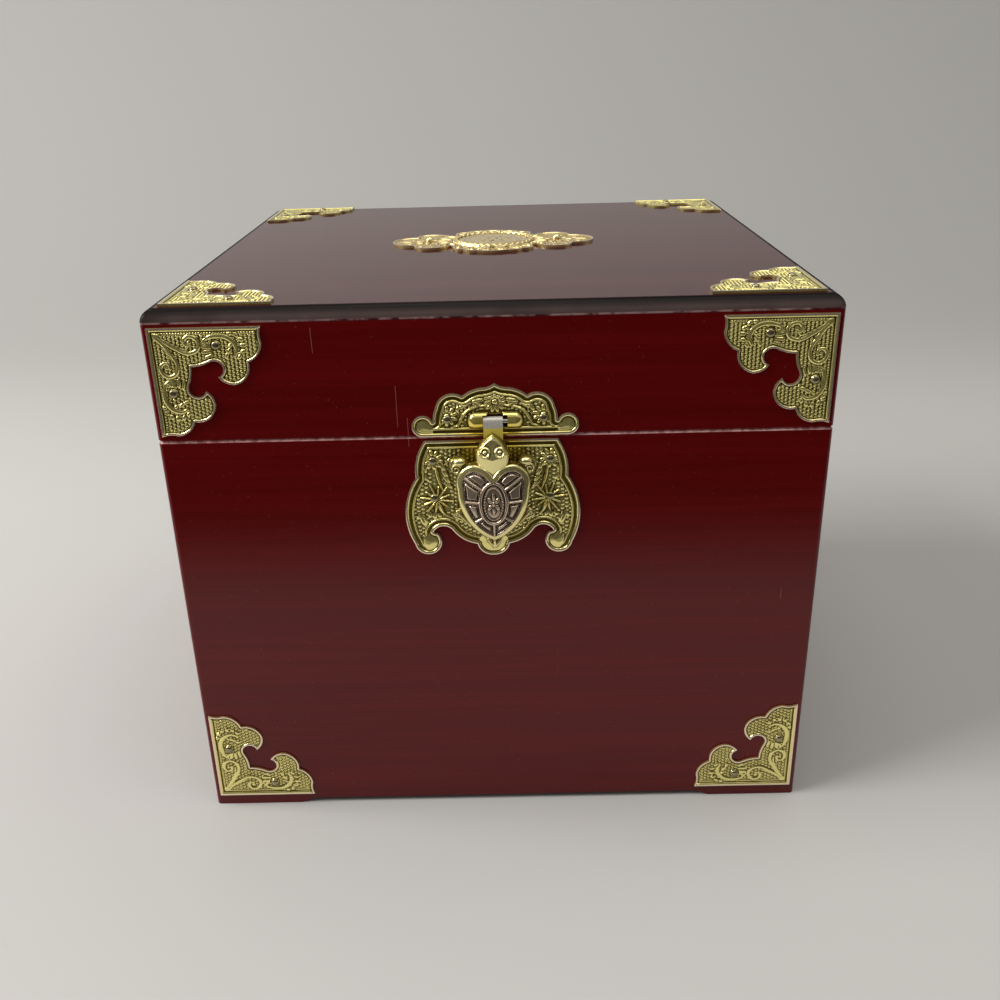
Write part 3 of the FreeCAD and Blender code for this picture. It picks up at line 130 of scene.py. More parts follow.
def plus(tree, first, second, clamp=False):
    """The sum of two values, kept between 0 and 1 where it is a mask."""
    return put(tree, "ShaderNodeMath", {0: first, 1: second}, operation="ADD", use_clamp=clamp).outputs[0]


def minus(tree, first, second):
    """The difference of two values."""
    return sums(tree, "SUBTRACT", first, second)


def times(tree, first, second):
    """The product of two values."""
    return sums(tree, "MULTIPLY", first, second)


def apart(tree, first, second):
    """The distance between two values."""
    return sums(tree, "ABSOLUTE", minus(tree, first, second))


def blend(tree, factor, first, second, mode="MIX"):
    """The output of a colour Mix node."""
    made = put(tree, "ShaderNodeMix", {0: factor, 6: first, 7: second}, data_type="RGBA", blend_type=mode)
    return made.outputs[2]


def step(tree, value, low, high):
    """A smooth step from 0 at low to 1 at high."""
    made = put(tree, "ShaderNodeMapRange", {"Value": value, "From Min": low, "From Max": high},
               interpolation_type="SMOOTHSTEP")
    return made.outputs["Result"]


def between(tree, value, low, high):
    """A value from low to high for a value from 0 to 1."""
    made = put(tree, "ShaderNodeMapRange", {"Value": value, "To Min": low, "To Max": high})
    return made.outputs["Result"]


def noise(tree, place, scale, detail=2.0, **inputs):
    """The value of a Noise texture."""
    inputs = {"Vector": place, "Scale": scale, "Detail": detail, **inputs}
    return put(tree, "ShaderNodeTexNoise", inputs).outputs[0]


def raised(tree, height, strength, distance):
    """The normal of a Bump node."""
    made = put(tree, "ShaderNodeBump", {"Strength": strength, "Distance": distance, "Height": height})
    return made.outputs[0]


def object_place(tree):
    """The Object coordinates, in metres, as a socket."""
    return put(tree, "ShaderNodeTexCoord").outputs["Object"]


def axes(tree, place):
    """The X, Y and Z of a place, as sockets."""
    return put(tree, "ShaderNodeSeparateXYZ", {0: place}).outputs


def distance(tree, place, spot):
    """How far a place is from a fixed spot."""
    return put(tree, "ShaderNodeVectorMath", {0: place, 1: spot}, operation="DISTANCE").outputs["Value"]


def rgb(red, green, blue):
    """A linear colour with full alpha."""
    return (red, green, blue, 1.0)


print("node helpers ready")

# %% Helpers for groups and materials


def new_group(name, inputs, outputs):
    """An empty shader node group. Inputs are (name, kind, value) rows and outputs (name, kind) rows."""
    group = bpy.data.node_groups.new(name, "ShaderNodeTree")
    for title, kind, value in inputs:
        socket = group.interface.new_socket(title, in_out="INPUT", socket_type="NodeSocket" + kind)
        if value is not None:
            socket.default_value = value
    for title, kind in outputs:
        group.interface.new_socket(title, in_out="OUTPUT", socket_type="NodeSocket" + kind)
    start = group.nodes.new("NodeGroupInput")
    end = group.nodes.new("NodeGroupOutput")
    return group, start.outputs, end


def use_group(tree, group, **inputs):
    """The outputs of a group placed in a material, with its own values. Underscores stand for spaces."""
    made = tree.nodes.new("ShaderNodeGroup")
    made.node_tree = group
    fill(tree, made, spaced(inputs))
    return made.outputs


def new_material(name):
    """A material with its Principled shader linked to the output."""
    material = bpy.data.materials.new(name)
    material.use_nodes = True
    tree = material.node_tree
    tree.nodes.clear()
    output = tree.nodes.new("ShaderNodeOutputMaterial")
    shader = tree.nodes.new("ShaderNodeBsdfPrincipled")
    tree.links.new(shader.outputs[0], output.inputs["Surface"])
    return material, tree, shader


def give(tree, shader, **inputs):
    """Sets or links inputs of the shader. Underscores stand for spaces."""
    fill(tree, shader, spaced(inputs))


print("group and material helpers ready")

# %% [markdown]
# The stage is a plain pale cloth: a floor that curves up into a backdrop behind the box.
# Plain soft light comes from the upper left, and the rest of the room is dim.

# %% The cloth floor
FLOOR_COLOUR = rgb(0.50, 0.49, 0.475)
FLOOR_PATCH = rgb(0.56, 0.555, 0.54)
# Painted shade: the darker colour that the cloth takes towards the backdrop.
PAINTED_BACKDROP_SHADE = rgb(0.41, 0.405, 0.39)
BACKDROP_SHADE = (0.15, 0.7)
FLOOR_HALF = 2.4
BACKDROP_START = 0.50
BACKDROP_BEND = 0.55
BACKDROP_HIGH = 2.2
BEND_STEPS = 16


def stage_piece(name, points, faces, material):
    """A mesh of the stage, which is no part of the box."""
    mesh = bpy.data.meshes.new(name)
    mesh.from_pydata(points, [], faces)
    mesh.shade_smooth()
    mesh.materials.append(material)
    made = linked(name, mesh)
    return made


def pale_cloth():
    """Pale cloth in soft patches, with painted shade that darkens it towards the backdrop."""
    material, tree, shader = new_material("pale_cloth")
    place = object_place(tree)
    colour = blend(tree, noise(tree, place, 2.2, 3.0), FLOOR_COLOUR, FLOOR_PATCH)
    colour = blend(tree, step(tree, axes(tree, place)[1], *BACKDROP_SHADE), colour, PAINTED_BACKDROP_SHADE)
    give(tree, shader, Base_Color=colour, Roughness=0.9, Specular_IOR_Level=0.2)
    return material


def make_cloth_floor():
    """A floor sheet that turns up in a quarter circle and rises as a backdrop."""
    profile = [(-FLOOR_HALF, 0.0), (BACKDROP_START, 0.0)]
    for turn in range(1, BEND_STEPS + 1):
        angle = math.radians(90 * turn / BEND_STEPS)
        profile.append((BACKDROP_START + BACKDROP_BEND * math.sin(angle),
                        BACKDROP_BEND * (1 - math.cos(angle))))
    profile.append((BACKDROP_START + BACKDROP_BEND, BACKDROP_HIGH))
    points = [(x, y, z) for y, z in profile for x in (-FLOOR_HALF, FLOOR_HALF)]
    faces = [(2 * n, 2 * n + 1, 2 * n + 3, 2 * n + 2) for n in range(len(profile) - 1)]
    return stage_piece("cloth_floor", points, faces, pale_cloth())


print("floor:", len(make_cloth_floor().data.polygons), "faces")

# %% [markdown]
# A dark screen that only reflections see stands for the unlit room in front of the box.
# Without it the lid's front would mirror the pale floor, which it does not do in a room.

# %% The unlit room
ROOM_Y = -0.285
ROOM_HIGH = 0.30
ROOM_GLOW = 0.03
FOOT_GLOW = rgb(0.30, 0.29, 0.28)
BLACK = rgb(0.0, 0.0, 0.0)


def unlit_room():
    """Black with a faint glow at its foot, and clear for the rays of a perfectly sharp mirror."""
    material, tree, shader = new_material("unlit_room")
    height = axes(tree, object_place(tree))[2]
    glow = blend(tree, step(tree, height, 0.0, ROOM_GLOW), FOOT_GLOW, BLACK)
    sharp = put(tree, "ShaderNodeLightPath").outputs["Is Singular Ray"]
    give(tree, shader, Base_Color=BLACK, Roughness=1.0, Specular_IOR_Level=0.0,
         Emission_Color=glow, Emission_Strength=1.0, Alpha=minus(tree, 1.0, sharp))
    return material


def make_dark_room():
    """An upright dark screen that only glossy rays see."""
    corners = [(-FLOOR_HALF, ROOM_Y, 0), (FLOOR_HALF, ROOM_Y, 0),
               (FLOOR_HALF, ROOM_Y, ROOM_HIGH), (-FLOOR_HALF, ROOM_Y, ROOM_HIGH)]
    screen = stage_piece("dark_room", corners, [(0, 1, 2, 3)], unlit_room())
    for ray in ("camera", "diffuse", "transmission", "shadow", "volume_scatter"):
        setattr(screen, "visible_" + ray, False)
    return screen


print("unlit room:", make_dark_room().name)

# %% Lamps and world
WORLD_LIGHT = 0.26
WORLD_SEEN = 0.42
WORLD_COLOUR = rgb(1.0, 0.98, 0.95)


def make_lamp(name, place, aim, size, power, colour):
    """A square soft lamp that looks from a place at a point."""
    data = bpy.data.lights.new(name, "AREA")
    data.size = size
    data.energy = power
    data.color = colour
    lamp = linked(name, data)
    lamp.location = place
    lamp.rotation_euler = (Vector(aim) - Vector(place)).to_track_quat("-Z", "Y").to_euler()


def make_world():
    """A plain grey world that fills the shadows, and is as pale as the backdrop where it shows."""
    world = bpy.data.worlds.new("room_light")
    world.use_nodes = True
    tree = world.node_tree
    sky = tree.nodes["Background"]
    ray = put(tree, "ShaderNodeLightPath").outputs
    shown = sums(tree, "MAXIMUM", ray["Is Camera Ray"], ray["Is Glossy Ray"])
    shown = sums(tree, "MAXIMUM", shown, ray["Is Transmission Ray"])
    fill(tree, sky, {"Color": WORLD_COLOUR, "Strength": between(tree, shown, WORLD_LIGHT, WORLD_SEEN)})
    bpy.context.scene.world = world


make_world()
make_lamp("window", place=(-1.45, -0.32, 1.2), aim=(0, 0, 0.08), size=1.05, power=34.0,
          colour=(1.0, 0.985, 0.96))
make_lamp("ceiling", place=(0.3, -0.1, 1.9), aim=(0, 0, 0.1), size=1.8, power=15.0,
          colour=(1.0, 0.97, 0.92))
bpy.context.scene.view_settings.view_transform = "Standard"

# %% [markdown]
# Red lacquer over straight-grained wood covers the case and the lid.
# It could be painted by hand, but the grain here is a noise stretched along each board.
# The groups below give the grain, the smudges and the fine scratches that several finishes share.

# %% Shared effects of the lacquer
SCRATCH_DRIFT = 0.0004


def make_grain_group():
    """Streaks along one axis: a mask from 0 to 1 and a height for a Bump node."""
    group, start, end = new_group(
        "straight_grain",
        [("Vector", "Vector", None), ("Fineness", "Vector", (7.0, 7.0, 420.0))],
        [("Streak", "Float"), ("Height", "Float")],
    )
    scaled = put(group, "ShaderNodeVectorMath", {0: start["Vector"], 1: start["Fineness"]},
                 operation="MULTIPLY").outputs[0]
    fine = noise(group, scaled, 1.0, 5.0, Roughness=0.6, Distortion=0.3)
    wide = noise(group, scaled, 0.16, 2.0, Roughness=0.5)
    streak = plus(group, times(group, fine, 0.6), times(group, wide, 0.5))
    fill(group, end, {"Streak": step(group, streak, 0.38, 0.72), "Height": fine})
    return group


def make_smudge_group():
    """Soft blotches and fine dust that change how rough a glossy surface is."""
    group, start, end = new_group(
        "smudges_and_dust",
        [("Vector", "Vector", None), ("Clean", "Float", 0.2), ("Smudged", "Float", 0.4)],
        [("Roughness", "Float"), ("Dust", "Float")],
    )
    blotch = step(group, noise(group, start["Vector"], 28.0, 4.0, Roughness=0.65), 0.42, 0.75)
    dust = step(group, noise(group, start["Vector"], 900.0, 1.0), 0.72, 0.80)
    rough = between(group, blotch, start["Clean"], start["Smudged"])
    fill(group, end, {"Roughness": rough, "Dust": dust})
    return group


def make_scratch_group():
    """One thin upright scratch on the front, between two heights, in metres."""
    group, start, end = new_group(
        "upright_scratch",
        [("Vector", "Vector", None), ("Across", "Float", 0.0), ("Middle", "Float", 0.0),
         ("Half length", "Float", 0.004), ("Half width", "Float", 0.0001)],
        [("Mask", "Float")],
    )
    place = axes(group, start["Vector"])
    wave = minus(group, noise(group, start["Vector"], 120.0), 0.5)
    across = plus(group, place[0], times(group, wave, SCRATCH_DRIFT))
    narrow = sums(group, "LESS_THAN", apart(group, across, start["Across"]), start["Half width"])
    short = sums(group, "LESS_THAN", apart(group, place[2], start["Middle"]), start["Half length"])
    fill(group, end, {"Mask": times(group, narrow, short)})
    return group


GRAIN = make_grain_group()
SMUDGES = make_smudge_group()
SCRATCH = make_scratch_group()
print("lacquer effects:", GRAIN.name, SMUDGES.name, SCRATCH.name)

# %% [markdown]
# The boards' lacquer is a dark stain under a clear satin coat.
# Front and back boards have their grain along X, the side boards along Y.
# A thin band on the case's upper bevel is paler pink: a painted highlight on the bevel, flecked with wear
# where the lid closes on it.

# %% Lacquer of the boards
GRAIN_ALONG_X = (9.0, 300.0, 520.0)
GRAIN_ALONG_Y = (300.0, 9.0, 520.0)
OUTER = (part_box("front_panel")[1][0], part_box("back_panel")[1][1])
FRONT_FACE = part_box("front_panel")[0][1]
BEVEL_DEEP = 0.0009
SEAM_BEVEL = (0.14010, 0.14035)
SEAM_TOP = 0.1409
COAT_IOR = 1.42
DUST = rgb(0.4, 0.36, 0.34)
SCRATCH_COLOUR = rgb(0.36, 0.16, 0.13)
SCRATCH_SHARE = 0.35
SCRATCH_HALF_WIDTH = 0.00012
FRONT_SCRATCHES = [
    # across, middle height, half length
    (-0.0542, 0.1721, 0.0039),
    (-0.0300, 0.1507, 0.0066),
    (-0.0269, 0.1423, 0.0048),
    (0.0935, 0.0828, 0.0020),
]


def past_edge(tree, place, halves):
    """How far a place lies outside a rectangle about the middle, below 0 inside it."""
    sides = [minus(tree, sums(tree, "ABSOLUTE", place[n]), halves[n]) for n in (0, 1)]
    return sums(tree, "MAXIMUM", *sides)


def dusty(tree, marks, share, colour):
    """A colour with a share of the fine dust on it."""
    return blend(tree, times(tree, marks["Dust"], share), colour, DUST)


def seam_highlight_and_wear(tree, place, height, out):
    """A band along the case's upper bevel as a mask, and its flecked pink: a painted highlight with flecks
    of wear.
    """
    flecks = step(tree, noise(tree, place, 420.0, 3.0), 0.40, 0.62)
    band = times(tree, step(tree, height, *SEAM_BEVEL), sums(tree, "LESS_THAN", height, SEAM_TOP))
    band = times(tree, band, sums(tree, "GREATER_THAN", out, -BEVEL_DEEP))
    return band, blend(tree, flecks, rgb(0.26, 0.085, 0.085), rgb(0.52, 0.27, 0.26))


def lacquer(name, fineness, scratched=False):
    """Red stained wood under satin lacquer, with grain along one axis."""
    material, tree, shader = new_material(name)
    place = object_place(tree)
    parts = axes(tree, place)
    grain = use_group(tree, GRAIN, Vector=place, Fineness=fineness)
    marks = use_group(tree, SMUDGES, Vector=place)
    colour = blend(tree, grain["Streak"], rgb(0.090, 0.0, 0.0002), rgb(0.118, 0.0005, 0.0012))
    # Painted highlight with flecks of wear along the case's upper bevel.
    band, pink = seam_highlight_and_wear(tree, place, parts[2], past_edge(tree, parts, OUTER))
    colour = blend(tree, band, colour, pink)
    if scratched:
        on_front = sums(tree, "LESS_THAN", parts[1], FRONT_FACE + BEVEL_DEEP)
        faint = times(tree, on_front, SCRATCH_SHARE)
        for across, middle, half in FRONT_SCRATCHES:
            line = use_group(tree, SCRATCH, Vector=place, Across=across, Middle=middle,
                             Half_length=half, Half_width=SCRATCH_HALF_WIDTH)
            colour = blend(tree, times(tree, line["Mask"], faint), colour, SCRATCH_COLOUR)
    colour = dusty(tree, marks, 0.05, colour)
    give(tree, shader, Base_Color=colour, Roughness=0.5, Coat_Weight=1.0, Coat_Roughness=0.2,
         Coat_IOR=COAT_IOR, Specular_IOR_Level=0.0, Normal=raised(tree, grain["Height"], 0.06, 0.0003))
    return material


def finish_mesh(mesh, material):
    """Gives a mesh one material in place of what it has."""
    mesh.materials.clear()
    mesh.materials.append(material)


def finish_nodes(material, *names):
    """Gives CAD nodes their own finish in place of the plain one."""
    for name in names:
        finish_mesh(NODES[name].data, material)


finish_nodes(lacquer("red_lacquer_front", GRAIN_ALONG_X, scratched=True),
             "front_panel", "back_panel", "lid_front_rail", "lid_back_rail",
             "tray_front_wall", "tray_back_wall", "tray_long_divider")
finish_nodes(lacquer("red_lacquer_side", GRAIN_ALONG_Y),
             "left_panel", "right_panel", "lid_left_rail", "lid_right_rail",
             "tray_left_wall", "tray_right_wall", "tray_cross_dividers")
print("boards lacquered")

# %% [markdown]
# The top board is glossier and darker. Its rounded edge is painted black, with a painted reflection that
# lightens it to brown in patches below, and a thin broken pale line ends the black where it meets the red.

# %% Lacquer of the top board
TOP_GRAIN = (9.0, 380.0, 380.0)
TOP_FLAT = (0.1013, 0.0993)
BLACK_START = (-0.0004, 0.0005)
BLACK_FOOT = (0.17825, 0.1786)
PAINTED_REFLECTION_SPAN = (0.1795, 0.1815)
FOOT_LINE = 0.0003
EDGE_DINGS = [
    # place, size
    ((-0.0540, -0.1048, 0.1785), 0.0009),
    ((0.0490, -0.1048, 0.1788), 0.0004),
]


def black_edge(tree, place, height, streak):
    """The edge's black, lightened to brown in patches towards its foot by a painted reflection."""
    dark = blend(tree, streak, rgb(0.006, 0.005, 0.005), rgb(0.020, 0.016, 0.015))
    # Painted reflection: lighter brown patches on the lower part of the black edge.
    low = minus(tree, 1.0, step(tree, height, *PAINTED_REFLECTION_SPAN))
    reflected_patches = times(tree, low, step(tree, noise(tree, place, 22.0, 4.0), 0.30, 0.62))
    return blend(tree, reflected_patches, dark, rgb(0.085, 0.060, 0.056))


def pale_line_and_dings(tree, place, height, colour):
    """A colour with a thin broken pale line at the black's foot, and the dings."""
    line_breaks = step(tree, noise(tree, place, 260.0), 0.34, 0.60)
    line = sums(tree, "LESS_THAN", apart(tree, height, BLACK_FOOT[0]), FOOT_LINE)
    colour = blend(tree, times(tree, line, line_breaks), colour, rgb(0.26, 0.15, 0.145))
    for spot, size in EDGE_DINGS:
        near = sums(tree, "LESS_THAN", distance(tree, place, spot), size)
        colour = blend(tree, near, colour, rgb(0.30, 0.19, 0.18))
    return colour


def top_lacquer():
    """Gloss lacquer of the top board, red on the flat and black round its soft edge."""
    material, tree, shader = new_material("top_lacquer")
    place = object_place(tree)
    parts = axes(tree, place)
    grain = use_group(tree, GRAIN, Vector=place, Fineness=TOP_GRAIN)
    marks = use_group(tree, SMUDGES, Vector=place, Clean=0.10, Smudged=0.19)
    black = times(tree, step(tree, past_edge(tree, parts, TOP_FLAT), *BLACK_START),
                  step(tree, parts[2], *BLACK_FOOT))
    red = blend(tree, grain["Streak"], rgb(0.044, 0.005, 0.007), rgb(0.064, 0.009, 0.011))
    colour = blend(tree, black, red, black_edge(tree, place, parts[2], grain["Streak"]))
    colour = dusty(tree, marks, 0.06, pale_line_and_dings(tree, place, parts[2], colour))
    coat = minus(tree, 0.88, times(tree, black, 0.78))
    give(tree, shader, Base_Color=colour, Roughness=marks["Roughness"], Coat_Weight=coat,
         Coat_Roughness=0.10, Specular_IOR_Level=0.0, Normal=raised(tree, grain["Height"], 0.08, 0.0003))
    return material


finish_nodes(top_lacquer(), "lid_top_board")
print("top board lacquered")

# %% [markdown]
# The brass plates are thin sheet, stamped in a die, so their front is a height over a flat back.
# That is how they are made here: a fine grid fills the plate's real outline, read from the frame,
# and a few simple shapes (ridges, lobes, beads, spirals) raise it.
# Bump mapping alone would look flat from the side and would not be in the exported mesh.

# %% Outlines read from the frame
FRONT_BACK_LEVEL = -103.0
TOP_BACK_LEVEL = 182.2
LEVEL_SLACK = 0.01
CHUNK = 4000


def welded(name):
    """A node's points in millimetres with doubles merged, and its triangles."""
    mesh = NODES[name].data
    mesh.calc_loop_triangles()
    points = np.array([v.co for v in mesh.vertices]) / MM
    corners = np.array([t.vertices for t in mesh.loop_triangles])
    unique, index = np.unique(np.round(points, 3), axis=0, return_inverse=True)
    return unique, index.reshape(-1)[corners]


def chained(edges):
    """Loose edges, as pairs of point numbers, joined into closed loops."""
    following = {}
    for a, b in edges:
        following.setdefault(a, []).append(b)
    loops = []
    while following:
        here = next(iter(following))
        loop = []
        while here in following:
            loop.append(here)
            ends = following[here]
            there = ends.pop()
            if not ends:
                del following[here]
            here = there
        if len(loop) > 2:
            loops.append(loop)
    return loops


def rim_edges(triangles):
    """Directed edges that only one triangle uses."""
    used = {}
    for a, b, c in triangles:
        for edge in ((a, b), (b, c), (c, a)):
            used[edge] = used.get(edge, 0) + 1
    return [edge for edge in used if (edge[1], edge[0]) not in used]


def flat_loops(name, axis, level):
    """Closed outlines of a node's flat face at a level of an axis, the longest first."""
    points, triangles = welded(name)
    flat = np.abs(points[:, axis] - level) < LEVEL_SLACK
    chosen = triangles[flat[triangles].all(axis=1)]
    across = [n for n in range(3) if n != axis]
    loops = [points[loop][:, across] for loop in chained(rim_edges(chosen.tolist()))]
    return sorted(loops, key=lambda loop: -np.ptp(loop[:, 0]))


def near_path(points, path, closed=False):
    """For each point: its distance to a path, the nearest place on it, and how far along that is."""
    starts = path if closed else path[:-1]
    ends = np.roll(path, -1, axis=0) if closed else path[1:]
    runs = ends - starts
    square = np.maximum((runs ** 2).sum(axis=1), 1e-12)
    count = len(points)
    gap = np.empty(count)
    foot = np.empty((count, 2))
    along = np.empty(count)
    for first in range(0, count, CHUNK):
        chunk = slice(first, first + CHUNK)
        part = points[chunk, None, :]
        t = np.clip(((part - starts) * runs).sum(axis=2) / square, 0, 1)
        feet = starts + t[..., None] * runs
        far = ((part - feet) ** 2).sum(axis=2)
        best = far.argmin(axis=1)
        rows = np.arange(len(best))
        gap[chunk] = np.sqrt(far[rows, best])
        foot[chunk] = feet[rows, best]
        along[chunk] = (best + t[rows, best]) / len(runs)
    return gap, foot, along


def inside(points, loops):
    """Whether each point is inside the outlines, counting crossings to its right."""
    odd = np.zeros(len(points), bool)
    for loop in loops:
        for (x0, y0), (x1, y1) in zip(loop, np.roll(loop, -1, axis=0)):
            if y0 == y1:
                continue
            crosses = (points[:, 1] < y0) != (points[:, 1] < y1)
            at = x0 + (points[:, 1] - y0) * (x1 - x0) / (y1 - y0)
            odd ^= crosses & (points[:, 0] < at)
    return odd


def depth_inside(points, loops):
    """Signed distance to the outlines, positive inside, and the nearest place on them."""
    gaps, feet = zip(*[near_path(points, loop, closed=True)[:2] for loop in loops])
    nearest = np.argmin(gaps, axis=0)
    rows = np.arange(len(points))
    gap = np.array(gaps)[nearest, rows]
    foot = np.array(feet)[nearest, rows]
    return np.where(inside(points, loops), gap, -gap), foot


corner_loops = flat_loops("lid_corner_plate_left", 1, FRONT_BACK_LEVEL)
print("corner plate outline:", [len(loop) for loop in corner_loops])

# %% [markdown]
# The grid over an outline keeps the cells whose middle is inside and pulls its border points
# onto the outline, so that the stamped edge is smooth. The back is closed with few large faces.

# %% Grids over outlines
FINE = 0.17


def grid_over(loops, pitch=FINE):
    """Points, four-cornered faces and depth for a grid that fills the outlines."""
    low = loops[0].min(axis=0) - 1.5 * pitch
    high = loops[0].max(axis=0) + 2.5 * pitch
    xs = np.arange(low[0], high[0], pitch)
    ys = np.arange(low[1], high[1], pitch)
    points = np.stack(np.meshgrid(xs, ys, indexing="ij"), axis=2).reshape(-1, 2)
    number = np.arange(len(points)).reshape(len(xs), len(ys))
    cells = np.stack([number[:-1, :-1], number[1:, :-1], number[1:, 1:], number[:-1, 1:]], axis=2)
    cells = cells.reshape(-1, 4)
    kept = cells[inside(points[cells].mean(axis=1), loops)]
    used, faces = np.unique(kept, return_inverse=True)
    faces = faces.reshape(-1, 4)
    points = points[used]
    depth, foot = depth_inside(points, loops)
    border = np.bincount(faces.reshape(-1), minlength=len(points)) < 4
    points[border] = foot[border]
    depth[border] = 0.0
    return points, faces, np.maximum(depth, 0.0)


def directed_rim(faces):
    """The open edges of four-cornered faces, in the faces' own direction."""
    starts = faces.reshape(-1)
    ends = np.roll(faces, -1, axis=1).reshape(-1)
    forward = set(zip(starts.tolist(), ends.tolist()))
    return [edge for edge in forward if (edge[1], edge[0]) not in forward]


def flat_back(points, rim, loops):
    """Triangles that close a flat back between the rim's points."""
    rim_points = sorted({n for edge in rim for n in edge})
    place = {n: k for k, n in enumerate(rim_points)}
    result = delaunay_2d_cdt([Vector(points[n]) for n in rim_points],
                             [(place[a], place[b]) for a, b in rim], [], 1, 1e-7)
    made, _, triangles, origins = result[:4]
    middles = np.array([np.mean([made[k] for k in t], axis=0) for t in triangles])
    keep = inside(middles, loops)
    numbers = [rim_points[o[0]] if o else None for o in origins]
    chosen = [[numbers[k] for k in t] for t, yes in zip(triangles, keep) if yes]
    return [t for t in chosen if None not in t and len(set(t)) == 3]


print("grid tools ready")

# %% [markdown]
# Each point of a relief also says how deep it lies below its surroundings, as the attribute hollow.
# The metal is darker in the hollows, and paler on the lip with a painted highlight, and reads it.

# %% Relief meshes
HOLLOW_REACH = 0.8
HOLLOW_SPAN = 0.16
HOLLOW_START = 0.30
LIP_HIGHLIGHT_WIDTH = 0.7
# Painted shade: the backs of the reliefs, so their side walls are darker at the base.
BACK_PAINTED_SHADE = 0.9
CREASE_ANGLE = 60


def hollow_mask(points, height, reach=HOLLOW_REACH, pitch=FINE):
    """How deep each point lies below its surroundings, from 0 on ridges to 1 in hollows."""
    cell = np.floor((points - points.min(axis=0)) / pitch + 0.5).astype(int)
    spots = (cell[:, 0], cell[:, 1])
    total = np.zeros(cell.max(axis=0) + 1)
    weight = np.zeros_like(total)
    np.add.at(total, spots, height)
    np.add.at(weight, spots, 1.0)
    width = max(1, int(reach / pitch))
    for axis in (0, 1):
        for grid in (total, weight):
            run = np.cumsum(np.insert(grid, 0, 0, axis=axis), axis=axis)
            count = grid.shape[axis]
            upper = np.minimum(np.arange(count) + width + 1, count)
            lower = np.maximum(np.arange(count) - width, 0)
            grid[:] = np.take(run, upper, axis=axis) - np.take(run, lower, axis=axis)
    mean = (total / np.maximum(weight, 1e-9))[spots]
    return np.clip((mean - height) / HOLLOW_SPAN + HOLLOW_START, 0, 1)


def lip_painted_highlight(hollow, depth):
    """The hollow attribute with its values below 0 on the lip, whose pale is a painted highlight."""
    lip = -np.sqrt(np.clip(1 - (depth / LIP_HIGHLIGHT_WIDTH) ** 2, 0, 1))
    return np.where(depth < LIP_HIGHLIGHT_WIDTH, lip, hollow)


def mesh_object(name, points, faces):
    """A smooth mesh object from points in metres, its faces turned outwards."""
    mesh = bpy.data.meshes.new(name)
    mesh.from_pydata(points.tolist(), [], faces)
    work = bmesh.new()
    work.from_mesh(mesh)
    bmesh.ops.recalc_face_normals(work, faces=work.faces)
    work.to_mesh(mesh)
    work.free()
    mesh.shade_smooth()
    return linked(name, mesh)


def relief_object(name, points, faces, front, back, loops, place, hollow, mirrored=False):
    """A closed mesh from a front height over a grid and a back height, or one level for a flat back.

    place turns (u, v, height) rows in millimetres into points of the frame."""
    count = len(points)
    rim = directed_rim(faces)
    if np.ndim(back) == 0:
        on_rim = sorted({n for edge in rim for n in edge})
        low = {n: count + k for k, n in enumerate(on_rim)}
        back_points = place(points[on_rim], np.full(len(on_rim), float(back)))
        closing = [[low[n] for n in t] for t in flat_back(points, rim, loops)]
    else:
        low = {n: count + n for n in range(count)}
        back_points = place(points, back)
        closing = [[low[n] for n in face] for face in faces[:, ::-1].tolist()]
    every = faces.tolist() + [(b, a, low[a], low[b]) for a, b in rim]
    if mirrored:
        every = [face[::-1] for face in every]
    made = mesh_object(name, np.concatenate([place(points, front), back_points]), every + closing)
    made.data.set_sharp_from_angle(angle=math.radians(CREASE_ANGLE))
    shade = made.data.attributes.new("hollow", "FLOAT", "POINT")
    # The back points carry painted shade, which darkens the side walls towards the base.
    values = np.concatenate([hollow, np.full(len(back_points), BACK_PAINTED_SHADE)])
    shade.data.foreach_set("value", values.astype(np.float32))
    return made


def onto(axis, level, way, middle=(0.0, 0.0), signs=(1.0, 1.0)):
    """Places points measured from a middle on a plane across an axis, with heights growing one way."""
    across = [n for n in range(3) if n != axis]

    def place(points, height):
        made = np.empty((len(points), 3))
        made[:, across] = middle + points * signs
        made[:, axis] = level + way * height
        return made * MM
    return place


FRONT = (1, FRONT_BACK_LEVEL, -1)
TOP = (2, TOP_BACK_LEVEL, 1)
print("plates lie against", FRONT, "and", TOP, "as axis, level and way")

# %% [markdown]
# Stamped ornament is built from four simple shapes, each a height over the points of the grid:
# a ridge along a curve, an oval lobe with a crease, rows of small bumps and a flower of lobes.

# %% Shapes of the stamped ornament
TAPER = 0.35
LOW_RIDGE = 0.55
CREASE_WIDE = 0.22
BUMP_LEAN = 35.0
BUMP_SIZE = 0.30
DOT_REACH = 0.27


def curve_through(places, steps=12):
    """A smooth Catmull-Rom curve through a few chosen places."""
    places = np.array(places, float)
    ends = np.concatenate([[2 * places[0] - places[1]], places, [2 * places[-1] - places[-2]]])
    rows = []
    for n in range(1, len(ends) - 2):
        before, here, there, after = ends[n - 1:n + 3]
        for t in np.arange(steps) / steps:
            rows.append(0.5 * (2 * here + (there - before) * t
                               + (2 * before - 5 * here + 4 * there - after) * t ** 2
                               + (3 * here - before - 3 * there + after) * t ** 3))
    rows.append(places[-1])
    return np.array(rows)


def spiral(middle, outer, inner, start, turns, steps=40):
    """A curl from an outer to an inner radius. The start is in degrees, turns may be negative."""
    t = np.linspace(0, 1, steps)
    angle = math.radians(start) + t * turns * 2 * math.pi
    radius = outer + (inner - outer) * t
    return np.stack([middle[0] + radius * np.cos(angle), middle[1] + radius * np.sin(angle)], axis=1)


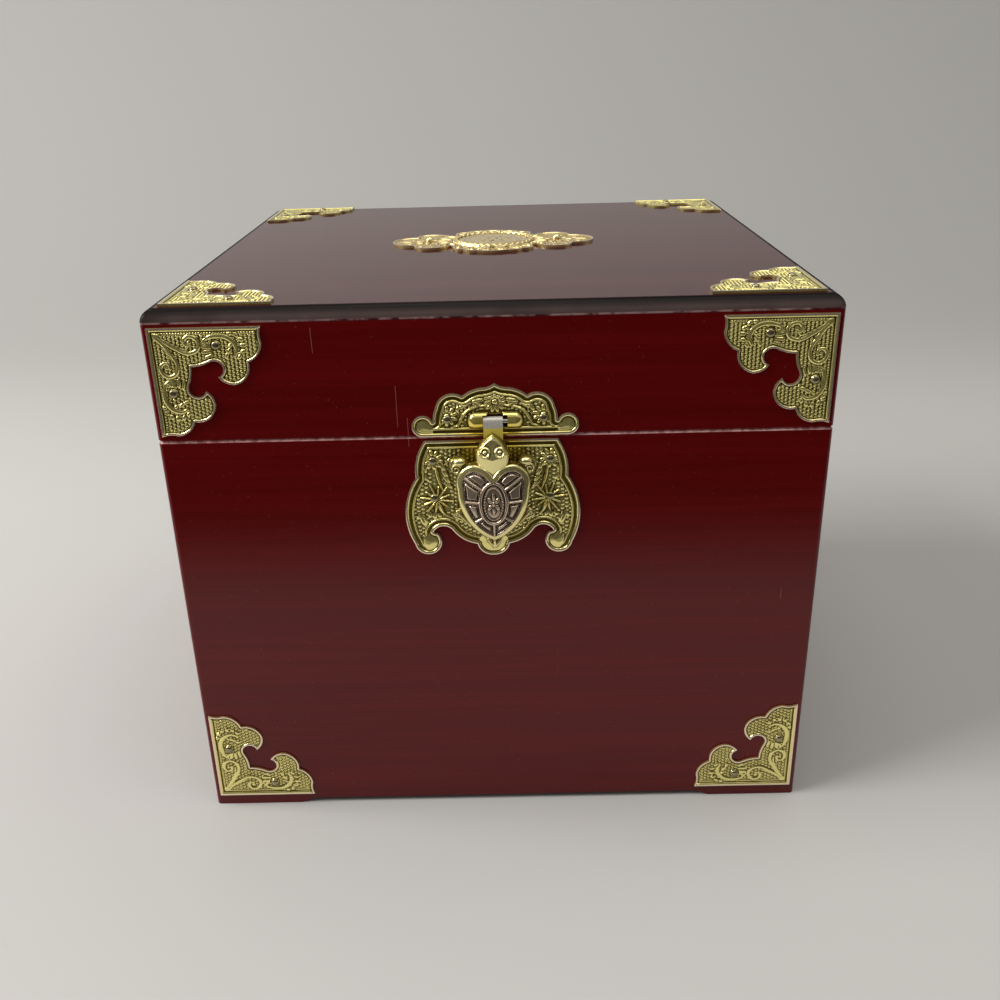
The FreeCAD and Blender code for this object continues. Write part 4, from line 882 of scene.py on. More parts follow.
def ridge(points, path, width, height, start_share=1.0, end_share=1.0):
    """A rounded ridge along an open path, as wide at its ends as the shares say."""
    path = np.asarray(path)
    result = np.zeros(len(points))
    close = ((points > path.min(axis=0) - width) & (points < path.max(axis=0) + width)).all(axis=1)
    if not close.any():
        return result
    gap, _, along = near_path(points[close], path)
    share = start_share + (1 - start_share) * np.minimum(along / TAPER, 1)
    share = np.minimum(share, end_share + (1 - end_share) * np.minimum((1 - along) / TAPER, 1))
    inside_ridge = np.clip(1 - (2 * gap / (width * share)) ** 2, 0, 1)
    result[close] = height * np.sqrt(inside_ridge) * (LOW_RIDGE + (1 - LOW_RIDGE) * share)
    return result


def lobe(points, middle, angle, length, width, height, crease=0.0):
    """An oval dome, its long axis at an angle in degrees, with a crease along the axis."""
    turn = math.radians(angle)
    x = points[:, 0] - middle[0]
    y = points[:, 1] - middle[1]
    along = (x * math.cos(turn) + y * math.sin(turn)) / (length / 2)
    across = (-x * math.sin(turn) + y * math.cos(turn)) / (width / 2)
    dome = np.sqrt(np.clip(1 - along ** 2 - across ** 2, 0, 1))
    return height * dome * (1 - crease * np.exp(-(across / CREASE_WIDE) ** 2))


def highest(*heights):
    """The upper envelope of several heights."""
    return np.maximum.reduce(heights)


def lobes(points, rows, crease):
    """The upper envelope of lobes from (middle, angle, length, width, height) rows."""
    return highest(*[lobe(points, *row, crease) for row in rows])


def staggered(points, pitch):
    """The place of each point in its cell of staggered columns, from the cell's middle."""
    column = np.floor(points[:, 0] / pitch)
    rise = points[:, 1] / pitch + 0.5 * (column % 2)
    return points[:, 0] / pitch - column - 0.5, rise - np.floor(rise) - 0.5


def bumps(points, pitch):
    """Staggered slanted bumps in columns, from 0 to 1."""
    x, y = staggered(points, pitch)
    turn = math.radians(BUMP_LEAN)
    along = x * math.sin(turn) + y * math.cos(turn)
    across = x * math.cos(turn) - y * math.sin(turn)
    return np.exp(-(across / BUMP_SIZE) ** 2 - (along / (1.35 * BUMP_SIZE)) ** 2)


def stipple(points, pitch):
    """Round dots in staggered rows, from 0 to 1."""
    x, y = staggered(points, pitch)
    return np.exp(-((x ** 2 + y ** 2) / DOT_REACH ** 2))


def flower(points, middle, petals, radius, height, start=90.0, width=0.34, inner=0.32, crease=0.3):
    """Lobes set round a middle, with a small boss."""
    result = lobe(points, middle, 0, radius * 0.5, radius * 0.5, height)
    reach = radius * (1 + inner) / 2
    for n in range(petals):
        angle = start + 360.0 * n / petals
        turn = math.radians(angle)
        place = (middle[0] + reach * math.cos(turn), middle[1] + reach * math.sin(turn))
        petal = lobe(points, place, angle, radius * (1 - inner), radius * width, height, crease)
        result = np.maximum(result, petal)
    return result


def ramp(value, low, high):
    """A smooth step from 0 to 1, for arrays."""
    t = np.clip((value - low) / (high - low), 0, 1)
    return t * t * (3 - 2 * t)


def half_round(value, low, high):
    """1 in the middle of a band and 0 at its borders, round in section."""
    t = (value - low) / (high - low) * 2 - 1
    return np.sqrt(np.clip(1 - t * t, 0, 1))


print("ornament shapes ready")

# %% [markdown]
# Bright stamped brass is plain metal whose hollows stay darker, from lacquer and age.
# The grid's hollow attribute says how deep a point lies, and the material reads it.
# Thin tarnish clouds and a little grain in the roughness keep the metal from looking new.

# %% Brass and the other metals
PAINTED_YELLOW_REFLECTION = rgb(1.0, 0.83, 0.22)
YELLOW_REFLECTION_REACH = (0.0065, 0.0145)
PURE = 0.80
CLEAR_COAT = 0.7
COAT_ROUGHNESS = 0.09


def make_patina_group():
    """Colour and roughness of a bright metal that is darker in its hollows."""
    group, start, end = new_group(
        "metal_with_dark_hollows",
        [("Vector", "Vector", None), ("Hollow", "Float", 0.0),
         ("Bright", "Color", rgb(0.8, 0.7, 0.35)), ("Dark", "Color", rgb(0.1, 0.08, 0.03)),
         ("Lip", "Color", rgb(0.97, 0.79, 0.56)), ("Smooth", "Float", 0.18), ("Dull", "Float", 0.5)],
        [("Colour", "Color"), ("Roughness", "Float")],
    )
    clouds = minus(group, noise(group, start["Vector"], 160.0, 4.0), 0.5)
    grit = minus(group, noise(group, start["Vector"], 2600.0), 0.5)
    deep = plus(group, start["Hollow"], times(group, clouds, 0.5), clamp=True)
    mask = step(group, deep, 0.30, 0.95)
    # The lip's pale pinkish colour is a painted highlight.
    lip = step(group, times(group, start["Hollow"], -1.0), 0.1, 0.8)
    colour = blend(group, lip, blend(group, mask, start["Bright"], start["Dark"]), start["Lip"])
    spread = between(group, mask, start["Smooth"], start["Dull"])
    rough = plus(group, spread, times(group, grit, 0.12), clamp=True)
    fill(group, end, {"Colour": colour, "Roughness": rough})
    return group


PATINA = make_patina_group()


def metal(name, bright, dark, smooth, dull, attribute=True, yellow_reflection_at=None):
    """A lacquered metal finish, with or without the hollow attribute.

    Fine scratches and old lacquer scatter a little light, so the metal is not quite pure.
    Round a given place, if there is one, a painted yellow reflection tints the metal.
    """
    material, tree, shader = new_material(name)
    place = object_place(tree)
    own = {"Vector": place, "Bright": bright, "Dark": dark, "Smooth": smooth, "Dull": dull}
    if attribute:
        own["Hollow"] = put(tree, "ShaderNodeAttribute", attribute_name="hollow").outputs["Fac"]
    made = use_group(tree, PATINA, **own)
    colour = made["Colour"]
    if yellow_reflection_at:
        # Painted reflection: a yellow tint round the given place.
        kept = minus(tree, 1.0, step(tree, distance(tree, place, yellow_reflection_at), *YELLOW_REFLECTION_REACH))
        colour = blend(tree, kept, colour, PAINTED_YELLOW_REFLECTION, "MULTIPLY")
    give(tree, shader, Base_Color=colour, Roughness=made["Roughness"], Metallic=PURE,
         Coat_Weight=CLEAR_COAT, Coat_Roughness=COAT_ROUGHNESS)
    return material


STAMPED_BRASS = metal("stamped_brass", rgb(1.0, 0.89, 0.32), rgb(0.16, 0.112, 0.003), 0.14, 0.40)
LATCH_BRASS = metal("latch_brass", rgb(0.98, 0.86, 0.31), rgb(0.15, 0.105, 0.003), 0.15, 0.40,
                    yellow_reflection_at=(-0.0009, -0.1045, 0.1372))
MEDALLION_BRASS = metal("medallion_brass", rgb(0.94, 0.75, 0.34), rgb(0.34, 0.22, 0.06), 0.20, 0.42)
POLISHED_BRASS = metal("polished_brass", rgb(0.97, 0.86, 0.38), rgb(0.28, 0.21, 0.03), 0.13, 0.33)
PLAIN_BRASS = metal("plain_brass", rgb(0.86, 0.74, 0.38), rgb(0.5, 0.42, 0.2), 0.16, 0.3, attribute=False)
DARK_NAIL = metal("dark_nail", rgb(0.34, 0.29, 0.15), rgb(0.12, 0.10, 0.05), 0.16, 0.35, attribute=False)
ANTIQUE_COPPER = metal("antique_copper", rgb(0.66, 0.51, 0.37), rgb(0.030, 0.017, 0.009), 0.18, 0.5)
STEEL = metal("plain_steel", rgb(0.62, 0.61, 0.58), rgb(0.3, 0.3, 0.29), 0.20, 0.4, attribute=False)
print("metals ready")

# %% [markdown]
# Each corner plate is an angle with scalloped inner edges, the same on both sides of its diagonal.
# A volute springs from the corner, an arch bends round the nail, petals fill the far end,
# and rows of slanted bumps cover the ground between them.
# All eight plates are one stamping, so the heights are worked out once.

# %% The corner plate's stamping
PLATE_FIELD = 0.38
BUMP_PITCH = 1.2
WIDE_RIM = 1.15
THIN_RIM = 0.75
BEAD_BAND = (1.55, 2.25)
BEAD_PITCH = 0.85
STRAIGHT_FIELD = 2.45
VOLUTE = curve_through([(3.0, 2.4), (5.4, 4.7), (8.2, 6.5), (11.2, 7.9), (14.0, 7.3), (15.2, 5.2),
                        (14.3, 3.3), (12.3, 2.7), (10.9, 3.8), (11.2, 5.3), (12.6, 5.6)])
VOLUTE_ECHO = curve_through([(4.6, 3.4), (6.8, 5.0), (9.4, 6.3), (11.6, 6.8)])
ARCH = curve_through([(15.9, 5.2), (17.6, 3.5), (20.2, 2.75), (23.2, 3.0), (25.6, 4.7), (26.4, 7.2),
                      (25.6, 9.0)])
BUDS = [
    # middle, angle, length, width, height
    ((3.1, 2.5), 45, 2.4, 1.5, 0.55),
    ((12.3, 4.6), 0, 1.2, 1.2, 0.42),
]
LEAVES = [
    ((17.3, 6.0), 10.0, 3.6, 1.5, 0.56),
    ((17.2, 7.5), -4.0, 3.4, 1.3, 0.56),
    ((17.9, 8.9), -14.0, 3.2, 1.1, 0.56),
    ((17.4, 4.9), 32.0, 2.6, 1.1, 0.56),
    ((24.9, 1.9), 80.0, 1.9, 1.3, 0.62),
    ((26.6, 2.5), 55.0, 2.0, 1.3, 0.62),
    ((27.9, 3.9), 25.0, 2.0, 1.3, 0.62),
    ((28.4, 5.7), 0.0, 2.0, 1.4, 0.62),
    ((28.2, 7.6), -20.0, 2.0, 1.3, 0.62),
    ((27.0, 9.2), -50.0, 2.0, 1.3, 0.62),
    ((24.1, 7.4), -60.0, 2.3, 1.2, 0.62),
    ((23.2, 8.9), -75.0, 2.2, 1.1, 0.62),
    ((24.6, 5.7), -30.0, 1.8, 1.1, 0.62),
]


def one_arm(points):
    """Heights above the field of the ornament on one arm."""
    return highest(
        ridge(points, VOLUTE, 1.35, 0.50, start_share=0.8, end_share=0.7),
        ridge(points, VOLUTE_ECHO, 0.55, 0.36, start_share=0.5, end_share=0.4),
        ridge(points, ARCH, 1.7, 0.52, start_share=0.4, end_share=0.6),
        lobes(points, BUDS, 0.0),
        lobes(points, LEAVES, 0.25),
    )


def corner_heights(points, depth):
    """The stamped front of a corner plate over its grid, in millimetres above its back."""
    swapped = points[:, ::-1]
    straight = np.minimum(points[:, 0], points[:, 1])
    on_straight = depth > straight - 0.02
    ornament = highest(one_arm(points), one_arm(swapped))
    ground = 0.42 * bumps(points, BUMP_PITCH) * (1 - ramp(ornament, 0.02, 0.16))
    along = np.maximum(points[:, 0], points[:, 1])
    beads = 0.30 * half_round(depth, *BEAD_BAND) * np.abs(np.sin(math.pi * along / BEAD_PITCH))
    ground = np.where(on_straight & (depth < STRAIGHT_FIELD), 0.0, ground)
    inner = PLATE_FIELD + highest(ornament, ground, np.where(on_straight, beads, 0.0))
    wide_rim = 0.45 + 0.50 * half_round(depth, -0.35, WIDE_RIM)
    thin_rim = 0.40 + 0.42 * half_round(depth, -0.25, THIN_RIM)
    straight_front = np.where(depth < WIDE_RIM, wide_rim, 0.30 + (inner - 0.30) * ramp(depth, 1.3, 1.6))
    scallop_front = np.where(depth < THIN_RIM, thin_rim, 0.28 + (inner - 0.28) * ramp(depth, 0.9, 1.25))
    return np.where(on_straight, straight_front, scallop_front)


def from_corner(name, axis, level):
    """The plate's outlines measured from its outer corner along its two arms."""
    loops = flat_loops(name, axis, level)
    outer = loops[0]
    low = outer.min(axis=0)
    high = outer.max(axis=0)
    corners = np.array([low, high, (low[0], high[1]), (high[0], low[1])])
    gaps = [np.abs(outer - corner).sum(axis=1).min() for corner in corners]
    empty = corners[int(np.argmax(gaps))]
    signs = np.where(empty == high, 1.0, -1.0)
    corner = np.where(empty == high, low, high)
    return [(loop - corner) * signs for loop in loops], corner, signs


corner_loops, _, _ = from_corner("lid_corner_plate_left", *FRONT[:2])
corner_points, corner_faces, corner_depth = grid_over(corner_loops)
corner_front = corner_heights(corner_points, corner_depth)
corner_hollow = lip_painted_highlight(hollow_mask(corner_points, corner_front), corner_depth)
print("corner plate grid:", len(corner_points), "points, heights",
      round(corner_front.min(), 2), "to", round(corner_front.max(), 2))

# %% The eight corner plates


def finish_piece(made, body, material, slot, *nodes):
    """Gives a piece its finish and its body, and hides the nodes that it stands for. The slot is not used.
    """
    finish_mesh(made.data, material)
    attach(made, body)
    if nodes:
        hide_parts(*nodes)
    return made


def dress_corner(node, body, plane):
    """One corner plate in place of its plain node."""
    _, corner, signs = from_corner(node, *plane[:2])
    made = relief_object("stamped_" + node, corner_points, corner_faces, corner_front, 0.0, corner_loops,
                         onto(*plane, corner, signs), corner_hollow, mirrored=signs[0] * signs[1] < 0)
    return finish_piece(made, body, STAMPED_BRASS, "stamped_brass", node)


for side in ("left", "right"):
    dress_corner(f"lid_corner_plate_{side}", "lid", FRONT)
    dress_corner(f"case_corner_plate_{side}", "case", FRONT)
    for end in ("front", "back"):
        dress_corner(f"top_plate_{end}_{side}", "lid", TOP)
print("eight corner plates dressed")

# %% [markdown]
# The latch plates share one way of stamping: a bright lip, a plain channel, a raised line and
# then the field with its flowers. The round ears and feet stay plain and polished.
# Places below are measured from the middle of each plate, to the right and upwards.

# %% Field, channel and lip of the latch plates
LIP = 1.0
CHANNEL = 2.05
LINE = 2.75
CHANNEL_LEVEL = 0.34
FIELD_LEVEL = 0.40
PLAIN_LEVEL = 0.42
FLOWER_REACH = 3.4


def mirrored_pair(points, shape, flip=(-1, 1)):
    """A shape on one half and its mirror image on the other, from left to right as a rule."""
    return np.maximum(shape(points), shape(points * flip))


def latch_heights(depth, plain, ornament, ground):
    """A latch plate's front: lip, channel, raised line, and ornament over the ground."""
    lip = 0.42 + 0.50 * half_round(depth, -0.25, LIP)
    line = 0.36 + 0.42 * half_round(depth, CHANNEL, LINE)
    field = FIELD_LEVEL + highest(ornament, ground * (1 - ramp(ornament, 0.02, 0.14)))
    inner = 0.30 + (field - 0.30) * ramp(depth, LINE, LINE + 0.3)
    front = np.select([depth < LIP, depth < CHANNEL, depth < LINE], [lip, CHANNEL_LEVEL, line], inner)
    smooth = 0.55 + 0.25 * ramp(depth, LIP, 3.5)
    smooth = PLAIN_LEVEL + (smooth - PLAIN_LEVEL) * ramp(depth, LIP, LIP + 0.5)
    return front + (np.where(depth < LIP, lip, smooth) - front) * plain


def daisy(points, middle, radius, petals, height, start):
    """A flower of thin rays round a small eye, every second ray a little shorter."""
    result = lobe(points, middle, 0, 1.3, 1.3, 0.3)
    for n in range(petals):
        turn = math.radians(start + 360.0 * n / petals)
        long = radius * (1.0 if n % 2 == 0 else 0.82)
        tip = (middle[0] + long * math.cos(turn), middle[1] + long * math.sin(turn))
        root = (middle[0] + 0.7 * math.cos(turn), middle[1] + 0.7 * math.sin(turn))
        result = np.maximum(result, ridge(points, [root, tip], 0.62, height, start_share=0.6, end_share=0.8))
    return result


def clearing(points, middle):
    """Ground left plain round a flower on each half: 0 near it and 1 away from it."""
    away = np.hypot(np.abs(points[:, 0]) - middle[0], points[:, 1] - middle[1])
    return ramp(away, FLOWER_REACH - 0.2, FLOWER_REACH + 0.9)


def dress_plate(name, node, body, brass, plane, middle, heights, pitch=FINE):
    """A stamped plate in place of its plain node. Its lip follows the outer outline only."""
    loops = [loop - middle for loop in flat_loops(node, *plane[:2])]
    points, faces, _ = grid_over(loops, pitch)
    depth = np.maximum(depth_inside(points, loops[:1])[0], 0)
    front = heights(points, depth)
    hollow = lip_painted_highlight(hollow_mask(points, front, HOLLOW_REACH, pitch), depth)
    made = relief_object(name, points, faces, front, 0.0, loops, onto(*plane, middle), hollow)
    print(node + ":", len(faces), "cells, highest", round(front.max(), 2))
    return finish_piece(made, body, brass, "stamped_brass", node)


print("latch plate shapes ready")

# %% [markdown]
# The upper plate carries a chrysanthemum over the hasp's window, a leaf each side of it, two
# smooth swells over the pin's tunnels and a flower round each nail.

# %% Upper latch plate
UPPER_MIDDLE = (0.2, 140.9)
CHRYSANTHEMUM = (0.0, 10.9)
UPPER_FLOWER = (14.9, 6.5)
TUNNEL_MIDDLE = (6.05, 4.8)
SWELL_START = 2.05
SWELL_REACH = (2.5, 2.8)
SWELL_RISE = 1.85
SWELL_BAND = curve_through([(2.4, 9.9), (5.6, 9.5), (8.6, 8.2), (10.5, 5.6), (11.4, 3.7), (13.4, 2.9)])
BELL_FOOT = 2.5
BELL_REACH = (10.4, 7.0)
EAR_START = (18.8, 19.9)
EAR_TOP = 6.6
UPPER_LEAVES = [
    # middle, angle, length, width, height
    ((9.6, 9.9), -28, 3.6, 1.6, 0.60),
    ((11.4, 8.9), -62, 2.4, 1.1, 0.50),
    ((5.2, 11.4), -8, 3.8, 1.4, 0.60),
    ((5.4, 10.1), 14, 3.2, 1.1, 0.52),
    ((17.4, 6.7), 80, 2.2, 1.0, 0.40),
]


def upper_half(points):
    """The ornament of the upper plate's right half."""
    return highest(
        ridge(points, SWELL_BAND, 0.85, 0.66, start_share=0.4, end_share=0.5),
        flower(points, UPPER_FLOWER, 10, FLOWER_REACH, 0.60, start=20),
        lobes(points, UPPER_LEAVES, 0.3),
    )


def swells(points):
    """The smooth swells over the pin's tunnels, from 0 to 1."""
    x = np.abs(points[:, 0])
    high = ((points[:, 1] - TUNNEL_MIDDLE[1]) / SWELL_REACH[1]) ** 2
    past = ((x - TUNNEL_MIDDLE[0]) / SWELL_REACH[0]) ** 2
    swell = np.clip(1 - np.where(x > TUNNEL_MIDDLE[0], past + high, high), 0, 1) ** 0.6
    return swell * ramp(x, SWELL_START, SWELL_START + 0.7)


def upper_heights(points, depth):
    """Stamped front of the upper latch plate."""
    centre = flower(points, CHRYSANTHEMUM, 11, 3.5, 0.55, inner=0.30)
    ornament = np.maximum(mirrored_pair(points, upper_half), centre)
    x = np.abs(points[:, 0])
    ground = 0.34 * stipple(points, 1.2) * clearing(points, UPPER_FLOWER)
    bell = np.hypot(x / BELL_REACH[0], (points[:, 1] - BELL_FOOT) / BELL_REACH[1])
    ground = ground * ramp(bell, 0.92, 1.0)
    swell = swells(points)
    beside = 1 - ramp(swell, 0.02, 0.2)
    ornament = np.maximum(ornament * beside, SWELL_RISE * swell)
    plain = ramp(x, *EAR_START) * ramp(EAR_TOP - points[:, 1], 0, 0.8)
    return latch_heights(depth, plain, ornament, ground * beside)


dress_plate("stamped_upper_latch_plate", "upper_latch_plate", "lid", LATCH_BRASS, FRONT,
            UPPER_MIDDLE, upper_heights)

# %% [markdown]
# The lower plate spreads behind the turtle: a flower in each upper corner, a fern leaf beside the
# shell, a large daisy each side and leaves towards the curled feet. Dots fill the ground.

# %% Lower latch plate
LOWER_MIDDLE = (-1.3, 139.5)
LOWER_FLOWER = (18.5, -6.4)
DAISY = (17.6, -19.9)
FERN = (15.6, -12.0)
FOOT = (19.2, -34.9)
TIP = (0.0, -35.0)
FERN_STEM = curve_through([(17.6, -7.0), (17.4, -10.5), (16.6, -14.0), (15.4, -17.2)])
DAISY_STEM = curve_through([(17.4, -22.0), (16.0, -24.4), (13.6, -26.2), (11.0, -27.0)])
LOW_STEM = curve_through([(10.4, -24.4), (11.8, -27.4), (10.6, -30.6), (8.4, -32.4)])
FERN_LEAVES = [
    # middle, angle, length, width, height
    ((15.4, -8.8), 62, 3.5, 1.45, 0.62),
    ((14.8, -10.9), 56, 3.5, 1.45, 0.62),
    ((14.2, -13.0), 50, 3.5, 1.45, 0.62),
    ((13.8, -15.0), 42, 3.5, 1.45, 0.62),
    ((18.6, -25.6), 90, 2.6, 1.3, 0.42),
    ((17.2, -25.4), 70, 2.2, 1.1, 0.40),
    ((20.1, -25.3), 112, 2.2, 1.1, 0.40),
]
CREASED_LEAVES = [
    ((21.0, -9.6), -70, 3.0, 1.2, 0.42),
    ((20.6, -12.4), -118, 3.2, 1.1, 0.42),
    ((22.2, -27.0), 72, 4.2, 2.3, 0.64),
    ((23.6, -25.6), 118, 2.8, 1.3, 0.44),
    ((21.2, -29.2), 40, 2.4, 1.2, 0.42),
]


def lower_half(points):
    """The ornament of the lower plate's right half."""
    return highest(
        flower(points, LOWER_FLOWER, 10, FLOWER_REACH, 0.60, start=10),
        daisy(points, DAISY, 5.2, 12, 0.56, start=8),
        ridge(points, FERN_STEM, 0.85, 0.60, start_share=0.5, end_share=0.3),
        ridge(points, [(13.0, -6.2), (14.8, -8.0)], 0.7, 0.36, end_share=0.4),
        ridge(points, DAISY_STEM, 0.65, 0.42, start_share=0.8, end_share=0.4),
        ridge(points, LOW_STEM, 0.6, 0.38, start_share=0.5, end_share=0.3),
        lobes(points, FERN_LEAVES, 0.3),
        lobes(points, CREASED_LEAVES, 0.4),
    )


def lower_heights(points, depth):
    """Stamped front of the lower latch plate."""
    x = np.abs(points[:, 0])
    y = points[:, 1]
    foot = ramp(3.9 - np.hypot(x - FOOT[0], y - FOOT[1]), 0.0, 0.6) * ramp(24.6 - x, 0, 0.8)
    tip = ramp(5.0 - np.hypot(x - TIP[0], y - TIP[1]), 0.0, 0.6)
    round_daisy = ramp(np.hypot(x - DAISY[0], y - DAISY[1]), 4.6, 5.8)
    round_fern = ramp(np.hypot((x - FERN[0]) / 0.8, y - FERN[1]), 4.0, 5.5)
    ground = 0.36 * stipple(points, 1.35) * round_daisy * (0.2 + 0.8 * round_fern)
    ground = ground * clearing(points, LOWER_FLOWER)
    return latch_heights(depth, np.maximum(foot, tip), mirrored_pair(points, lower_half), ground)


dress_plate("stamped_lower_latch_plate", "lower_latch_plate", "case", LATCH_BRASS, FRONT,
            LOWER_MIDDLE, lower_heights)

# %% [markdown]
# The medallion lies flat on the lid: a low crowned disc in a garland of petals, and a wing each
# side with a rosette round its ball stud. The disc carries a plain traditional lotus rosette.

# %% Medallion
MEDALLION_FINE = 0.2
MEDALLION_HIGHEST = 2.4
DISC = 14.5
DISC_LEVEL = 0.85
DISC_RISE = 0.5
DISC_END = 13.7
COLLAR = (13.4, 15.4)
COLLAR_END = 15.3
MEDALLION_LIP = 0.9
STUD_OUT = 24.4
GARLAND = 20
GARLAND_OUT = 18.6
WING_LEAVES = [
    # middle, angle, length, width, height, all above the wing's middle line
    ((31.8, 3.6), 35, 4.4, 2.0, 0.52),
    ((23.0, 9.6), 78, 4.6, 2.6, 0.56),
    ((27.0, 8.8), 52, 4.4, 2.2, 0.52),
    ((18.9, 7.0), 120, 3.6, 1.8, 0.50),
]


def medallion_wing(points):
    """The ornament of the right wing."""
    return highest(
        flower(points, (STUD_OUT, 0.0), 9, 6.4, 0.62, start=0, inner=0.36, crease=0.4),
        lobe(points, (33.6, 0.0), 0, 6.4, 3.2, 0.60, 0.6),
        mirrored_pair(points, lambda half: lobes(half, WING_LEAVES, 0.5), (1, -1)),
    )


def garland_heights(points):
    """A wreath of slanted petals round the disc."""
    garland = np.zeros(len(points))
    for n in range(GARLAND):
        turn = 360.0 * (n + 0.5) / GARLAND
        middle = (GARLAND_OUT * math.cos(math.radians(turn)), GARLAND_OUT * math.sin(math.radians(turn)))
        garland = np.maximum(garland, lobe(points, middle, turn + 24, 6.0, 3.9, 1.15, 0.45))
    return garland


def disc_heights(radius, angle):
    """The crowned disc with its rosette, its rings and its twisted collar."""
    crown = DISC_LEVEL + DISC_RISE * np.sqrt(np.clip(1 - (radius / DISC) ** 2, 0, 1))
    petals = np.abs(np.sin(angle * 4.0)) ** 0.6
    rosette = 0.20 * ramp(2.0 + 5.5 * petals - radius, 0.0, 0.6) * ramp(radius, 1.9, 2.4)
    boss = 0.25 * ramp(1.7 - radius, 0, 0.5)
    ring = 0.18 * half_round(radius, 9.6, 10.6) + 0.14 * half_round(radius, 11.6, 12.1)
    twist = 0.75 + 0.25 * np.sin(angle * 36 + radius * 2.2)
    collar = 0.80 + 1.15 * twist * half_round(radius, *COLLAR)
    return np.where(radius > DISC_END, collar, crown + rosette + boss + ring)


def medallion_heights(points, depth):
    """Front of the medallion over its back."""
    radius = np.hypot(points[:, 0], points[:, 1])
    wings = mirrored_pair(points, medallion_wing) * ramp(np.abs(points[:, 0]), 15.5, 17.0)
    ornament = np.maximum(garland_heights(points) * ramp(radius, 15.6, 16.2), wings)
    ground = 0.25 * stipple(points, 1.1) * (1 - ramp(ornament, 0.02, 0.14))
    field = 0.45 + np.maximum(ornament, ground)
    lip = 0.50 + 0.45 * half_round(depth, -0.25, MEDALLION_LIP)
    inner = 0.42 + (field - 0.42) * ramp(depth, MEDALLION_LIP, 1.2)
    plate = np.where(depth < MEDALLION_LIP, lip, inner)
    disc = disc_heights(radius, np.arctan2(points[:, 1], points[:, 0]))
    return np.minimum(np.where(radius < COLLAR_END, disc, plate), MEDALLION_HIGHEST)


dress_plate("stamped_medallion", "top_medallion", "lid", MEDALLION_BRASS, TOP, (0.0, 0.0),
            medallion_heights, MEDALLION_FINE)

# %% [markdown]
# The turtle is a casting: a domed shell with a smooth rim, a faceted head, two flippers, two legs
# and a tail, each a closed relief of its own that overlaps its neighbours as they do in the metal.
# Their outlines are arcs through a few places, measured from the middle of the shell's top edge.

# %% Outlines drawn with arcs
ARC_STEP = 0.35


def arc_points(start, through, end):
    """Points along the circle through three places, from the start up to the end."""
    a, b, c = (complex(*place) for place in (start, through, end))
    turn = (c - a) / (b - a)
    middle = a + (b - a) * (turn - abs(turn) ** 2) / (2j * turn.imag)
    radius = abs(a - middle)
    sweep = np.angle((c - middle) / (a - middle)) % (2 * math.pi)
    if turn.imag < 0:
        sweep -= 2 * math.pi
    steps = max(4, int(abs(sweep) * radius / ARC_STEP))
    angles = np.angle(a - middle) + sweep * np.arange(steps) / steps
    return np.stack([middle.real + radius * np.cos(angles), middle.imag + radius * np.sin(angles)], axis=1)


def drawn(start, arcs):
    """An open outline of arcs that follow each other, each given by a place on it and its end."""
    rows = []
    for through, end in arcs:
        rows.append(arc_points(start, through, end))
        start = end
    rows.append(np.array([start], float))
    return np.concatenate(rows)


def both_sides(right):
    """A closed outline from its right half, which runs from the middle line to the middle line."""
    return np.concatenate([right, right[-2:0:-1] * (-1, 1)])


def inset(loop, distance):
    """An outline moved inwards, without the folds that this makes at its corners."""
    ahead = np.roll(loop, -1, axis=0) - np.roll(loop, 1, axis=0)
    side = np.stack([-ahead[:, 1], ahead[:, 0]], axis=1)
    side /= np.linalg.norm(side, axis=1)[:, None]
    if not inside(loop[:1] + 0.05 * side[:1], [loop])[0]:
        side = -side
    moved = loop + distance * side
    gap = near_path(moved, loop, closed=True)[0]
    return moved[gap > 0.985 * distance]


def rounded_edge(depth, radius):
    """How far a rounded edge lies below its surface, for a depth inside the outline."""
    short = radius - np.minimum(depth, radius)
    return radius - np.sqrt(radius ** 2 - short ** 2)


shell_outline = both_sides(drawn((0, -3.6), [((2.6, -0.9), (6.2, 0)), ((10.4, -2.4), (11.4, -8.4)),
                                             ((9.0, -18.0), (0, -26.5))]))
print("shell outline:", len(shell_outline), "points")

# %% The shell and its scutes
SHELL_TOP = (-0.9, 132.8)
SHELL_BACK = 1.7
SHELL_CROWN = 5.4
SHELL_RIM = 1.9
SHELL_ROUND = 0.9
DOME_REACH = (14.7, 16.55)
DOME_DROP = 12.2
SEAT_DEEP = 0.8
SCUTE_THICK = 0.3
CASTING_WALL = 1.1
TURTLE_FINE = 0.15
CARVING_REACH = 0.6
OVAL_MIDDLE = (0.0, -12.6)
OVAL_REACH = (4.2, 7.0)
BEAD_REACH = (2.95, 5.6)
BEADS = 34
WALL_WIDE = 0.48
BAR_START = 1.12
RIBS = [
    # from the oval, to the rim
    ((3.6, -8.0), (10.0, -3.6)),
    ((4.2, -12.3), (11.4, -12.0)),
    ((3.2, -17.2), (8.0, -20.6)),
]


def dome(points):
    """Height of the shell's smooth dome over the wood."""
    across = points[:, 0] / DOME_REACH[0]
    along = (points[:, 1] + DOME_DROP) / DOME_REACH[1]
    return SHELL_BACK + SHELL_CROWN * np.sqrt(np.clip(1 - across ** 2 - along ** 2, 0, 1))


def shell_heights(points, depth):
    """Front and hollow back of the shell, with the seat for the scutes."""
    front = dome(points) - rounded_edge(depth, SHELL_ROUND)
    seat = ramp(depth, SHELL_RIM - 0.1, SHELL_RIM + 0.15)
    front = np.maximum(front - SEAT_DEEP * seat, SHELL_BACK + 0.35)
    hollow = np.maximum(dome(points) - SEAT_DEEP - CASTING_WALL, SHELL_BACK)
    return front, np.where(depth > SHELL_RIM, hollow, SHELL_BACK)


